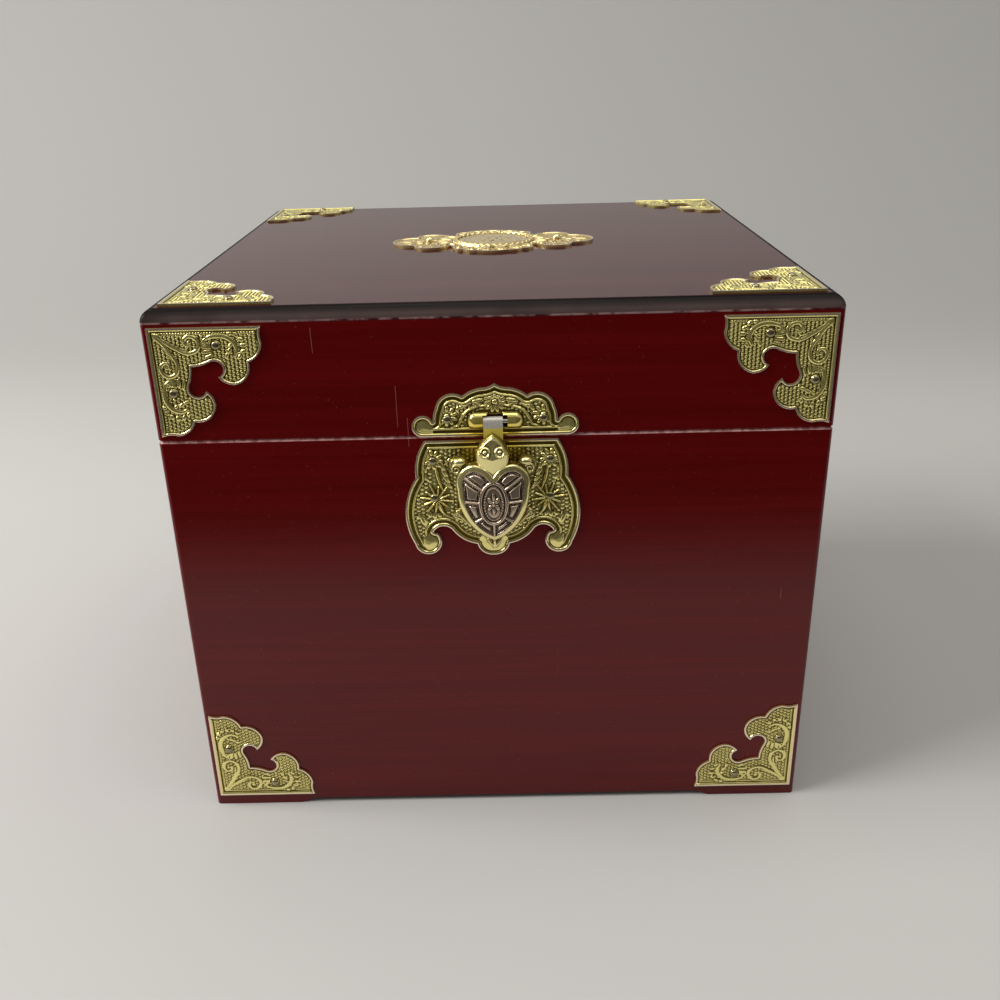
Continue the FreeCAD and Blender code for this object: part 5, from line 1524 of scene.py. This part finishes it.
def scute_heights(points, depth):
    """Front and back of the scutes: beaded borders and raised bars round a beaded oval."""
    away = points - OVAL_MIDDLE
    share = np.hypot(away[:, 0] / OVAL_REACH[0], away[:, 1] / OVAL_REACH[1])
    ring = np.abs(share - 1) * np.hypot(away[:, 0], away[:, 1]) / np.maximum(share, 0.05)
    rib = near_path(points, np.array([(0, -19.0), (0, -26.0)]))[0]
    folded = np.stack([np.abs(points[:, 0]), points[:, 1]], axis=1)
    for start, end in RIBS:
        rib = np.minimum(rib, near_path(folded, np.array([start, end]))[0])
    rib = np.where(share > 1, rib, 9.0)
    border = np.minimum(np.minimum(rib + 0.05, ring - 0.1), depth + 0.1)
    wall = 0.62 * np.sqrt(np.clip(1 - (border / WALL_WIDE) ** 2, 0, 1))
    dots = 0.42 * stipple(points, 0.62) * half_round(border, WALL_WIDE, BAR_START)
    bar = 0.60 * ramp(border, BAR_START, 1.5)
    beads = np.hypot(away[:, 0] / BEAD_REACH[0], away[:, 1] / BEAD_REACH[1])
    turn = np.arctan2(away[:, 1] / BEAD_REACH[1], away[:, 0] / BEAD_REACH[0])
    bead = 0.36 * np.clip(1 - ((beads - 1) / 0.09) ** 2, 0, 1) * np.abs(np.cos(turn * BEADS / 2)) ** 0.7
    rosette = flower(away / (1.0, 1.75), (0.0, 0.0), 6, 2.15, 0.52, width=0.46, inner=0.24, crease=0.35)
    relief = np.where(share > 1, highest(wall, dots, bar), highest(wall, bead, rosette))
    return dome(points) - 0.50 + relief, dome(points) - SEAT_DEEP - SCUTE_THICK


def join_pieces(name, pieces):
    """Several closed meshes as one mesh object."""
    work = bmesh.new()
    work.verts.layers.float.new("hollow")
    for made in pieces:
        work.from_mesh(made.data)
        bpy.data.objects.remove(made)
    mesh = bpy.data.meshes.new(name)
    work.to_mesh(mesh)
    work.free()
    return linked(name, mesh)


def turtle_relief(name, outline, heights):
    """One relief of the turtle from its outline and a function that gives front and back."""
    points, faces, depth = grid_over([outline], TURTLE_FINE)
    front, back = heights(points, depth)
    hollow = hollow_mask(points, front, CARVING_REACH, TURTLE_FINE)
    return relief_object(name, points, faces, front, back, [outline], onto(*FRONT, SHELL_TOP), hollow)


shell = turtle_relief("shell", shell_outline, shell_heights)
scutes = turtle_relief("stamped_scutes", inset(shell_outline, SHELL_RIM), scute_heights)
finish_piece(scutes, "hasp", ANTIQUE_COPPER, "antique_copper", "shell_inlay")
print("scutes:", len(scutes.data.polygons), "faces")

# %% Head, limbs and tail
HEAD_TOP = 9.8
HEAD_BACK = 2.4
FACE_LEVEL = 5.2
FACE_EDGE = 3.3
CHIN_START = 3.0
CHIN_LIFT = 1.5
CHIN_WIDE = 0.85
BROW_BAND = 1.0
FACE_TIP = -7.8
FACE_SLANT = 0.40
EYE = (2.3, -5.4)
EYE_REACH = 1.5
PUPIL = 0.55
SNOUT = -2.4
LIMB_BACK = 1.7
TAIL_BACK = 2.6
TAIL_TIP = -29.2
CURL_OUT = (11.5, -1.9)
FLIPPER_CAP = (10.3, 0.6)
CAP_REACH = (2.0, 1.35)
FOOT_CURL = (11.4, -17.3)

head_outline = both_sides(drawn((0, 0), [((3.1, -2.4), (5.3, -6.4)), ((4.2, -10.8), (0, -14.9))]))
head_outline = head_outline + (0, HEAD_TOP)
flipper_outline = drawn((9.4, -4.4), [((7.6, -1.6), (8.7, 1.6)), ((10.2, 2.2), (11.4, 1.9)),
                                      ((13.6, -0.2), (13.3, -2.4)), ((12.0, -3.9), (9.5, -4.45))])[:-1]
leg_outline = drawn((6.0, -13.0), [((8.3, -14.1), (10.8, -15.6)), ((12.0, -16.0), (12.6, -17.2)),
                                   ((12.9, -18.6), (11.9, -19.2)), ((8.6, -21.0), (5.6, -22.6)),
                                   ((4.4, -17.6), (6.0, -13.05))])[:-1]
tail_outline = both_sides(drawn((0, -24.5), [((1.5, -24.8), (2.5, -25.7)), ((1.7, -28.2), (0, -30.2))]))


def head_heights(points, depth):
    """A flat diamond of a face over a broad bright chin that meets it in a V, with ringed eyes."""
    u = np.abs(points[:, 0])
    v = points[:, 1] - HEAD_TOP
    below = np.maximum(FACE_TIP + FACE_SLANT * u - v, 0.0)
    chin = depth / (depth + CHIN_WIDE * below + 0.001)
    slope = np.minimum(np.minimum(depth / BROW_BAND, chin), 1.0)
    face = FACE_EDGE + (FACE_LEVEL - FACE_EDGE) * slope ** 0.8
    crease = 0.10 * half_round(depth, BROW_BAND - 0.35, BROW_BAND + 0.15)
    eye = np.hypot(u - EYE[0], v - EYE[1])
    ring = 0.42 * half_round(eye, EYE_REACH - 0.45, EYE_REACH + 0.1)
    pupil = 0.30 * np.sqrt(np.clip(1 - (eye / PUPIL) ** 2, 0, 1))
    snout = 0.25 * np.exp(-((u / 1.2) ** 2 + ((v - SNOUT) / 1.0) ** 2))
    lift = CHIN_LIFT * ramp(-v, CHIN_START, -FACE_TIP)
    return face + crease + ring + pupil - 0.25 * snout + lift - rounded_edge(depth, 0.4), HEAD_BACK


def flipper_heights(points, depth):
    """A plump flipper whose tip curls into a spiral."""
    curl = spiral(CURL_OUT, 1.6, 0.3, 150, -1.5)
    body = LIMB_BACK + 1.1 + 0.4 * ramp(depth, 0, 1.6) - rounded_edge(depth, 0.6)
    fold = ridge(points, curl, 0.62, 0.75, end_share=0.7)
    away = (points - FLIPPER_CAP) / CAP_REACH
    cap = 1.3 * np.sqrt(np.clip(1 - (away ** 2).sum(axis=1), 0, 1))
    return body + np.maximum(fold, cap), LIMB_BACK


def leg_heights(points, depth):
    """A leg folded along the shell: two long ridges and a small curl at the foot."""
    foot = spiral(FOOT_CURL, 1.1, 0.15, 60, 1.3)
    body = LIMB_BACK + 0.9 - rounded_edge(depth, 0.5)
    long = ridge(points, [(11.6, -16.6), (7.4, -21.6)], 1.1, 0.75, start_share=0.7, end_share=0.6)
    short = ridge(points, [(9.9, -15.6), (6.2, -20.4)], 1.0, 0.70, start_share=0.7, end_share=0.6)
    return body + highest(long, short, ridge(points, foot, 0.6, 0.5)), LIMB_BACK


def tail_heights(points, depth):
    """A short tail fanned into three folds that meet at its point."""
    body = TAIL_BACK + 0.6 - rounded_edge(depth, 0.5)
    folds = []
    for angle in (58, 90, 122):
        turn = math.radians(angle)
        middle = (2.3 * math.cos(turn), TAIL_TIP + 2.3 * math.sin(turn))
        folds.append(lobe(points, middle, angle, 4.6, 1.25, 0.9))
    return body + highest(*folds), TAIL_BACK


def on_the_left(heights):
    """The same heights for a piece drawn as a mirror image."""
    return lambda points, depth: heights(points * (-1, 1), depth)


turtle_parts = [shell, turtle_relief("head", head_outline, head_heights),
                turtle_relief("tail", tail_outline, tail_heights)]
LIMBS = [("flipper", flipper_outline, flipper_heights), ("leg", leg_outline, leg_heights)]
for limb, outline, heights in LIMBS:
    turtle_parts.append(turtle_relief(limb + "_right", outline, heights))
    turtle_parts.append(turtle_relief(limb + "_left", outline * (-1, 1), on_the_left(heights)))
turtle = join_pieces("turtle_with_limbs", turtle_parts)
finish_piece(turtle, "hasp", POLISHED_BRASS, "polished_brass", "turtle_casting")
print("turtle:", len(turtle.data.polygons), "faces")

# %% [markdown]
# Dark domed nails hold every plate, all alike. Copies of one dome, set on points by Geometry Nodes,
# save drawing each of them, and one number changes them all. Each point says which way its nail
# faces, and a fixed seed makes them differ a little in size, as hammered heads do.

# %% A Geometry Nodes tree for nail heads
NAIL_RADIUS = 0.0014
NAIL_DOME = 0.0008
NAIL_SPREAD = 0.06
NAIL_SEED = 4


def new_geometry_tree(name, inputs):
    """A Geometry Nodes tree with a Geometry socket each way and named inputs."""
    tree = bpy.data.node_groups.new(name, "GeometryNodeTree")
    tree.interface.new_socket("Geometry", in_out="OUTPUT", socket_type="NodeSocketGeometry")
    tree.interface.new_socket("Geometry", in_out="INPUT", socket_type="NodeSocketGeometry")
    for title, kind in inputs:
        tree.interface.new_socket(title, in_out="INPUT", socket_type=kind)
    start = tree.nodes.new("NodeGroupInput")
    end = tree.nodes.new("NodeGroupOutput")
    return tree, start.outputs, end.inputs


def finish_geometry(tree, instances, material, end):
    """Realizes the instances, gives them their material and ends the tree."""
    real = put(tree, "GeometryNodeRealizeInstances", {"Geometry": instances})
    dressed = put(tree, "GeometryNodeSetMaterial", {"Geometry": real.outputs[0], "Material": material})
    smooth = put(tree, "GeometryNodeSetShadeSmooth", {"Geometry": dressed.outputs[0]})
    tree.links.new(smooth.outputs[0], end["Geometry"])


def make_nail_tree():
    """Domes on points, each facing along its point's facing attribute."""
    tree, start, end = new_geometry_tree("domed_nail_heads", [
        ("Head radius", "NodeSocketFloat"), ("Dome height", "NodeSocketFloat"),
        ("Spread", "NodeSocketFloat"), ("Seed", "NodeSocketInt"), ("Material", "NodeSocketMaterial"),
    ])
    ball = put(tree, "GeometryNodeMeshUVSphere", {"Segments": 20, "Rings": 12, "Radius": 1.0})
    size = put(tree, "ShaderNodeCombineXYZ",
               {0: start["Head radius"], 1: start["Head radius"], 2: start["Dome height"]})
    head = put(tree, "GeometryNodeTransform", {"Geometry": ball.outputs["Mesh"], "Scale": size.outputs[0]})
    facing = put(tree, "GeometryNodeInputNamedAttribute", {"Name": "facing"}, data_type="FLOAT_VECTOR")
    turn = put(tree, "FunctionNodeAlignRotationToVector", {"Vector": facing.outputs["Attribute"]}, axis="Z")
    least = sums(tree, "SUBTRACT", 1.0, start["Spread"])
    vary = tree.nodes.new("FunctionNodeRandomValue")
    vary.data_type = "FLOAT"
    tree.links.new(least, vary.inputs[2])
    tree.links.new(start["Seed"], vary.inputs["Seed"])
    vary.inputs[3].default_value = 1.0
    set_on = put(tree, "GeometryNodeInstanceOnPoints",
                 {"Points": start["Geometry"], "Instance": head.outputs["Geometry"],
                  "Rotation": turn.outputs[0], "Scale": vary.outputs[1]})
    finish_geometry(tree, set_on.outputs[0], start["Material"], end)
    return tree


def grown(name, carrier_mesh, tree, **values):
    """The plain mesh object that a tree grows on a carrier mesh. Underscores stand for spaces."""
    carrier = linked(name + "_carrier", carrier_mesh)
    modifier = carrier.modifiers.new("grow", "NODES")
    modifier.node_group = tree
    values = spaced(values)
    for socket in tree.interface.items_tree:
        if socket.in_out == "INPUT" and socket.name in values:
            modifier[socket.identifier] = values[socket.name]
    ready = carrier.evaluated_get(bpy.context.evaluated_depsgraph_get())
    mesh = bpy.data.meshes.new_from_object(ready)
    mesh.name = name
    bpy.data.objects.remove(carrier)
    return linked(name, mesh)


NAIL_TREE = make_nail_tree()
print("nail tree:", len(NAIL_TREE.nodes), "nodes")

# %% Nails of the case and of the lid
NAIL_LIFT = 0.9


def solid_numbers(points, triangles):
    """For each point, a number that all points of its separate solid share."""
    label = np.arange(len(points))
    changed = True
    while changed:
        before = label.copy()
        lowest = label[triangles].min(axis=1)
        for corner in range(3):
            np.minimum.at(label, triangles[:, corner], lowest)
        changed = bool((label != before).any())
    return label


def solids_of(node):
    """The box of each separate solid of a node, in millimetres."""
    points, triangles = welded(node)
    label = solid_numbers(points, triangles)
    groups = [points[label == n] for n in np.unique(label)]
    return [(group.min(axis=0), group.max(axis=0)) for group in groups]


def nail_points(node, plane):
    """Places and facings of a node's nails, seated over a plane."""
    axis, level, way = plane
    places = np.array([(low + high) / 2 for low, high in solids_of(node)])
    places[:, axis] = level + way * NAIL_LIFT
    facings = np.zeros_like(places)
    facings[:, axis] = way
    return places, facings


def nails(name, body, planes):
    """One mesh of nail heads for a body, in place of its nail nodes, which name their planes."""
    places, facings = zip(*[nail_points(node, plane) for node, plane in planes.items()])
    mesh = bpy.data.meshes.new(name + "_points")
    mesh.from_pydata((np.concatenate(places) * MM).tolist(), [], [])
    facing = mesh.attributes.new("facing", "FLOAT_VECTOR", "POINT")
    facing.data.foreach_set("vector", np.concatenate(facings).astype(np.float32).reshape(-1))
    made = grown(name, mesh, NAIL_TREE, Head_radius=NAIL_RADIUS, Dome_height=NAIL_DOME,
                 Spread=NAIL_SPREAD, Seed=NAIL_SEED, Material=DARK_NAIL)
    print(name + ":", len(mesh.vertices), "nails,", len(made.data.polygons), "faces")
    return finish_piece(made, body, DARK_NAIL, "dark_nail", *planes)


nails("case_nail_heads", "case", {"case_corner_nails": FRONT, "lower_latch_nails": FRONT})
nails("lid_nail_heads", "lid",
      {"lid_corner_nails": FRONT, "upper_latch_nails": FRONT, "top_corner_nails": TOP})

# %% [markdown]
# The pieces that the frame already shapes well keep their shape and only get a finish:
# the strap, the spring clip, the pins, the catch stud, the ball studs and the hinges.

# %% Finishes of the small metal pieces
EYE_BELOW_PIN = 0.0019
EYE_SEAM = 0.0002
STRAP_PURE = 0.4


def strap_finish():
    """Yellow brass with its rolled eye worn through to the nickel below it."""
    low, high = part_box("hasp_pin")
    material, tree, shader = new_material("strap_brass_and_nickel")
    place = object_place(tree)
    seam = (low[2] + high[2]) / 2 - EYE_BELOW_PIN
    marks = use_group(tree, SMUDGES, Vector=place, Clean=0.30, Smudged=0.45)
    grit = noise(tree, place, 2400.0)
    nickel = blend(tree, grit, rgb(0.42, 0.39, 0.33), rgb(0.92, 0.88, 0.80))
    yellow = blend(tree, grit, rgb(0.90, 0.68, 0.08), rgb(1.0, 0.86, 0.16))
    above = step(tree, axes(tree, place)[2], seam - EYE_SEAM, seam + EYE_SEAM)
    give(tree, shader, Base_Color=blend(tree, above, yellow, nickel), Roughness=marks["Roughness"],
         Metallic=STRAP_PURE, Normal=raised(tree, grit, 0.35, 0.0001))
    return material


finish_nodes(strap_finish(), "hasp_strap")
finish_nodes(PLAIN_BRASS, "catch_stud", "medallion_studs", "hinge_case_leaf_left", "hinge_case_leaf_right",
             "hinge_lid_leaf_left", "hinge_lid_leaf_right", "hinge_case_screws", "hinge_lid_screws")
finish_nodes(STEEL, "hasp_pin", "hinge_pin_left", "hinge_pin_right", "hasp_clip")
print("small metal pieces finished")

# %% [markdown]
# Inside, velvet covers the card linings, the pads, the ring rolls and the mirror's frame.
# Velvet is short upright pile: it is dark looked at straight on and pale along its edges,
# which the shader's sheen gives, and its pile leans in patches, which a noise gives.

# %% Velvet, ribbon, mirror and plain board


def make_nap_group():
    """Patches of leaning pile as a mask, and the fine pile as a height."""
    group, start, end = new_group(
        "velvet_nap", [("Vector", "Vector", None), ("Patch", "Float", 60.0)],
        [("Lean", "Float"), ("Pile", "Float")],
    )
    patch = noise(group, start["Vector"], start["Patch"], 3.0, Distortion=0.6)
    pile = noise(group, start["Vector"], 2200.0)
    fill(group, end, {"Lean": step(group, patch, 0.40, 0.64), "Pile": pile})
    return group


NAP = make_nap_group()


def velvet(name, dark, light, patch):
    """Pile fabric with a soft sheen."""
    material, tree, shader = new_material(name)
    nap = use_group(tree, NAP, Vector=object_place(tree), Patch=patch)
    mottle = plus(tree, times(tree, nap["Lean"], 0.7), times(tree, nap["Pile"], 0.4), clamp=True)
    give(tree, shader, Base_Color=blend(tree, mottle, dark, light), Roughness=0.92, Specular_IOR_Level=0.1,
         Normal=raised(tree, nap["Pile"], 0.5, 0.0004),
         Sheen_Weight=0.7, Sheen_Roughness=0.35, Sheen_Tint=rgb(0.9, 0.42, 0.42))
    return material


def satin_ribbon():
    """Woven satin with fine ribs across the ribbon."""
    material, tree, shader = new_material("satin_ribbon")
    ribs = put(tree, "ShaderNodeTexWave", {"Vector": object_place(tree), "Scale": 420.0, "Distortion": 0.4},
               wave_type="BANDS", bands_direction="Z").outputs["Fac"]
    colour = blend(tree, ribs, rgb(0.20, 0.010, 0.018), rgb(0.36, 0.028, 0.038))
    give(tree, shader, Base_Color=colour, Roughness=between(tree, ribs, 0.48, 0.32), Sheen_Weight=0.3,
         Normal=raised(tree, ribs, 0.4, 0.0002))
    return material


def silvered_mirror():
    """Mirror glass, a little dusty."""
    material, tree, shader = new_material("silvered_mirror")
    marks = use_group(tree, SMUDGES, Vector=object_place(tree), Clean=0.0, Smudged=1.0)
    colour = blend(tree, marks["Roughness"], rgb(0.88, 0.90, 0.89), rgb(0.80, 0.81, 0.80))
    colour = blend(tree, marks["Dust"], colour, rgb(0.66, 0.66, 0.64))
    give(tree, shader, Base_Color=colour, Roughness=0.0, Metallic=1.0)
    return material


def plain_board():
    """Thin bare plywood."""
    material, tree, shader = new_material("bare_plywood")
    grain = use_group(tree, GRAIN, Vector=object_place(tree), Fineness=(8.0, 260.0, 260.0))
    colour = blend(tree, grain["Streak"], rgb(0.42, 0.27, 0.14), rgb(0.58, 0.41, 0.24))
    give(tree, shader, Base_Color=colour, Roughness=0.65, Normal=raised(tree, grain["Height"], 0.2, 0.0003))
    return material


VELVET = velvet("crimson_velvet", rgb(0.105, 0.004, 0.009), rgb(0.20, 0.010, 0.020), 55.0)
PAD_VELVET = velvet("crimson_pad_velvet", rgb(0.120, 0.005, 0.011), rgb(0.23, 0.013, 0.024), 90.0)
RIBBON_SATIN = satin_ribbon()
finish_nodes(VELVET, "case_rim_lining", "lid_side_lining")
finish_nodes(silvered_mirror(), "lid_mirror")
finish_nodes(plain_board(), "bottom_panel", "tray_bottom")
print("inside finishes ready")

# %% [markdown]
# The linings are card wrapped in velvet, so their edges are soft and their faces not quite flat.
# The pads and the mirror's frame are stuffed: their height grows from the seam to a crown.
# All are reliefs over the rectangle that the frame keeps for them.

# %% Linings of the well
SOFT_FINE = 1.5
LINING_FINE = 2.5
LINING_SHY = 0.15
LINING_ROUND = 1.2


def rectangle(low, high, pitch=3.0):
    """A closed rectangle with points at even steps."""
    corners = [(low[0], low[1]), (high[0], low[1]), (high[0], high[1]), (low[0], high[1])]
    rows = []
    for start, end in zip(corners, corners[1:] + corners[:1]):
        start = np.array(start, float)
        steps = max(2, int(np.abs(np.array(end) - start).sum() / pitch))
        rows.append(start + (np.array(end) - start) * (np.arange(steps) / steps)[:, None])
    return np.concatenate(rows)


def ripple(points, size, reach):
    """A gentle unevenness between -size and size with bumps about reach apart."""
    x = points[:, 0] * 2 * math.pi / reach
    y = points[:, 1] * 2 * math.pi / reach
    wave = (np.sin(x + 0.8 * np.sin(0.7 * y)) + np.sin(0.83 * y + 0.9 * np.sin(0.6 * x))
            + np.sin(1.9 * x - 1.3 * y))
    return size * wave / 3


def soft_relief(name, loops, heights, plane, pitch=SOFT_FINE):
    """A soft piece with a flat back on a plane and a height over its outlines."""
    points, faces, depth = grid_over(loops, pitch)
    return relief_object(name, points, faces, heights(points, depth), 0.0, loops, onto(*plane),
                         np.zeros(len(points)))


def box_in_mm(node):
    """The low and the high corner of a node's box."""
    return [np.array(corner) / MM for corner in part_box(node)]


def lining(node, way):
    """One velvet lining in place of its plain board. Its free face looks one way along the thin axis."""
    low, high = box_in_mm(node)
    axis = int(np.argmin(high - low))
    across = [n for n in range(3) if n != axis]
    thick = (high - low)[axis]
    base = low[axis] if way > 0 else high[axis]

    def heights(points, depth):
        edge = rounded_edge(depth, LINING_ROUND) * 0.7
        return thick - LINING_SHY - edge + ripple(points, LINING_SHY, 47.0)

    made = soft_relief("velvet_" + node, [rectangle(low[across], high[across])], heights,
                       (axis, base, way), LINING_FINE)
    return finish_piece(made, "case", VELVET, "velvet", node)


LINING_WAYS = {"floor_lining": 1, "front_liner": 1, "back_liner": -1, "left_liner": 1, "right_liner": -1}
for node, way in LINING_WAYS.items():
    lining(node, way)
print("linings:", len(LINING_WAYS))

# %% Padded frame of the mirror
SIGHT = np.array((66.0, 64.0))
FRAME_HALF = 12.85
FRAME_CROWN = 4.35
FRAME_HEIGHTS = (0.05, 4.5)
GATHER = 0.22
GATHER_PITCH = 6.5
GATHER_REACH = 3.2


def frame_heights(points, depth):
    """A full crown across the frame, gathered a little along its two seams."""
    crown = FRAME_CROWN * np.clip(1 - (1 - np.minimum(depth / FRAME_HALF, 1)) ** 2.4, 0, 1) ** 0.55
    along = points[:, 0] + points[:, 1]
    gathers = GATHER * np.sin(along * 2 * math.pi / GATHER_PITCH + 0.9 * np.sin(along / 11.0))
    gathers = gathers * np.exp(-depth / GATHER_REACH) * np.minimum(depth / 1.0, 1)
    uneven = ripple(points, 0.1, 31.0) * np.minimum(depth / 4, 1)
    return np.clip(crown + gathers + uneven, *FRAME_HEIGHTS)


low, high = box_in_mm("mirror_frame")
frame_loops = [rectangle(low[:2], high[:2]), rectangle(-SIGHT, SIGHT)]
cushion_frame = soft_relief("padded_mirror_frame", frame_loops, frame_heights, (2, high[2], -1))
finish_piece(cushion_frame, "lid", PAD_VELVET, "velvet", "mirror_frame")
print("mirror frame:", len(cushion_frame.data.polygons), "faces")

# %% Pads of the tray
PAD_EDGE = 0.45
PAD_RISE = 0.95


def pad_heights(points, depth):
    """A thin pad that rises softly from its edge."""
    crown = PAD_RISE * (1 - np.exp(-depth / 5.0))
    return PAD_EDGE + crown + ripple(points, 0.08, 23.0) * np.minimum(depth / 3, 1)


pads = []
for number, (low, high) in enumerate(solids_of("tray_pads")):
    pads.append(soft_relief(f"pad_{number}", [rectangle(low[:2], high[:2])], pad_heights, (2, low[2], 1)))
tray_cushions = join_pieces("tray_pad_cushions", pads)
finish_piece(tray_cushions, "tray", PAD_VELVET, "velvet", "tray_pads")
print("pads:", len(pads))

# %% [markdown]
# Rings stand in the slits between soft rolls. Each roll is velvet over foam: round on top,
# pressed flat against its neighbours and drawn in at its ends. It is one section swept along X,
# a little smaller near the ends, so a loop over stations makes it more simply than a simulation.

# %% Ring rolls
ROLL_STATIONS = 44
ROLL_SIDES = 30
ROLL_END = 7.0
ROLL_NECK = 0.72
ROLL_SLUMP = 0.025
ROLL_CREASE = 55


def powered(value, power):
    """A power of a value's size with the value's sign, which squares a circle a little."""
    return np.sign(value) * np.abs(value) ** power


def roll_mesh(low, high):
    """Points in metres and faces of one roll inside its box."""
    middle = (low + high) / 2
    half = (high - low) / 2
    angles = 2 * math.pi * np.arange(ROLL_SIDES) / ROLL_SIDES
    across = powered(np.cos(angles), 0.62)
    rise = powered(np.sin(angles), np.where(angles < math.pi, 0.85, 0.45))
    ease = 0.5 - 0.5 * np.cos(math.pi * np.arange(ROLL_STATIONS) / (ROLL_STATIONS - 1))
    rings = []
    for x in low[0] + ease * (high[0] - low[0]):
        gap = min(x - low[0], high[0] - x) / ROLL_END
        pull = ROLL_NECK + (1 - ROLL_NECK) * math.sqrt(max(0.0, 1 - (1 - min(gap, 1)) ** 2))
        slump = 1 - ROLL_SLUMP * (1 + math.sin(x / 7.3 + middle[1]))
        rings.append(np.stack([np.full(ROLL_SIDES, x), middle[1] + half[1] * pull * across,
                               low[2] + half[2] * pull * slump * (1 + rise)], axis=1))
    points = np.concatenate(rings + [rings[0].mean(axis=0)[None], rings[-1].mean(axis=0)[None]])
    faces = []
    for s in range(ROLL_STATIONS - 1):
        for n in range(ROLL_SIDES):
            a = s * ROLL_SIDES + n
            b = s * ROLL_SIDES + (n + 1) % ROLL_SIDES
            faces.append((a, a + ROLL_SIDES, b + ROLL_SIDES, b))
    first = len(points) - 2
    start = (ROLL_STATIONS - 1) * ROLL_SIDES
    for n in range(ROLL_SIDES):
        faces.append((first, n, (n + 1) % ROLL_SIDES))
        faces.append((first + 1, start + (n + 1) % ROLL_SIDES, start + n))
    return points * MM, faces


rolls = [mesh_object(f"roll_{n}", *roll_mesh(*box)) for n, box in enumerate(solids_of("ring_rolls"))]
ring_rolls = join_pieces("velvet_ring_rolls", rolls)
ring_rolls.data.set_sharp_from_angle(angle=math.radians(ROLL_CREASE))
finish_piece(ring_rolls, "tray", PAD_VELVET, "velvet", "ring_rolls")
print("ring rolls:", len(rolls), "with", len(ring_rolls.data.polygons), "faces")

# %% [markdown]
# The tray lifts by two ribbon loops. Each is one length of satin ribbon, folded over and glued to
# the inner side of the tray's end wall, so its two layers lie together below and open at the top.

# %% Pull ribbons
RIBBON = 0.32
LAYER_GAP = 0.5
LOOP_OPEN = 1.1
LOOP_START = (9.0, 1.5)
RIBBON_CREASE = 50


def ribbon_path(low, high, outwards):
    """The ribbon's middle line in X and Z: up the wall, over and down again."""
    wall = high[0] if outwards > 0 else low[0]
    inner = wall - outwards * RIBBON / 2
    t = np.linspace(0, 1, 26)
    rise = low[2] + t * (high[2] - RIBBON / 2 - LOOP_OPEN - low[2])
    opening = ramp(rise, high[2] - LOOP_START[0], high[2] - LOOP_START[1])
    spread = LAYER_GAP / 2 + (LOOP_OPEN - LAYER_GAP / 2) * opening
    middle = inner - outwards * LAYER_GAP / 2
    up = np.stack([middle + outwards * spread, rise], axis=1)
    down = np.stack([middle - outwards * spread, rise], axis=1)[::-1]
    angles = np.linspace(0, math.pi, 14)[1:-1]
    over = np.stack([middle + outwards * LOOP_OPEN * np.cos(angles),
                     rise[-1] + LOOP_OPEN * np.sin(angles)], axis=1)
    return np.concatenate([up, over, down])


def ribbon_mesh(path, across):
    """Points in metres and faces of a strip along a path, at the given places along Y."""
    ahead = np.gradient(path, axis=0)
    side = np.stack([-ahead[:, 1], ahead[:, 0]], axis=1)
    side *= RIBBON / 2 / np.linalg.norm(side, axis=1)[:, None]
    loop = np.concatenate([path + side, (path - side)[::-1]])
    count = len(loop)
    points = np.concatenate([np.stack([loop[:, 0], np.full(count, y), loop[:, 1]], axis=1) for y in across])
    faces = []
    for row in range(len(across) - 1):
        for n in range(count):
            a = row * count + n
            b = row * count + (n + 1) % count
            faces.append((a, b, b + count, a + count))
    for row in (0, len(across) - 1):
        for n in range(len(path) - 1):
            far = row * count + count - 1 - n
            faces.append((row * count + n, row * count + n + 1, far - 1, far))
    return points * MM, faces


def ribbon(low, high, end, outwards):
    """One folded ribbon on an end wall, as wide as its node is deep. Gives its length."""
    path = ribbon_path(low, high, outwards)
    made = mesh_object("pull_ribbon_" + end, *ribbon_mesh(path, np.linspace(low[1], high[1], 9)))
    made.data.set_sharp_from_angle(angle=math.radians(RIBBON_CREASE))
    finish_piece(made, "tray", RIBBON_SATIN, "ribbon", "tray_pull_tabs")
    length = np.linalg.norm(np.diff(path, axis=0), axis=1).sum()
    return length


for low, high in solids_of("tray_pull_tabs"):
    length = ribbon(low, high, *(("right", 1) if low[0] > 0 else ("left", -1)))
    print("ribbon cut to", round(high[1] - low[1], 1), "by", round(length, 1), "mm")
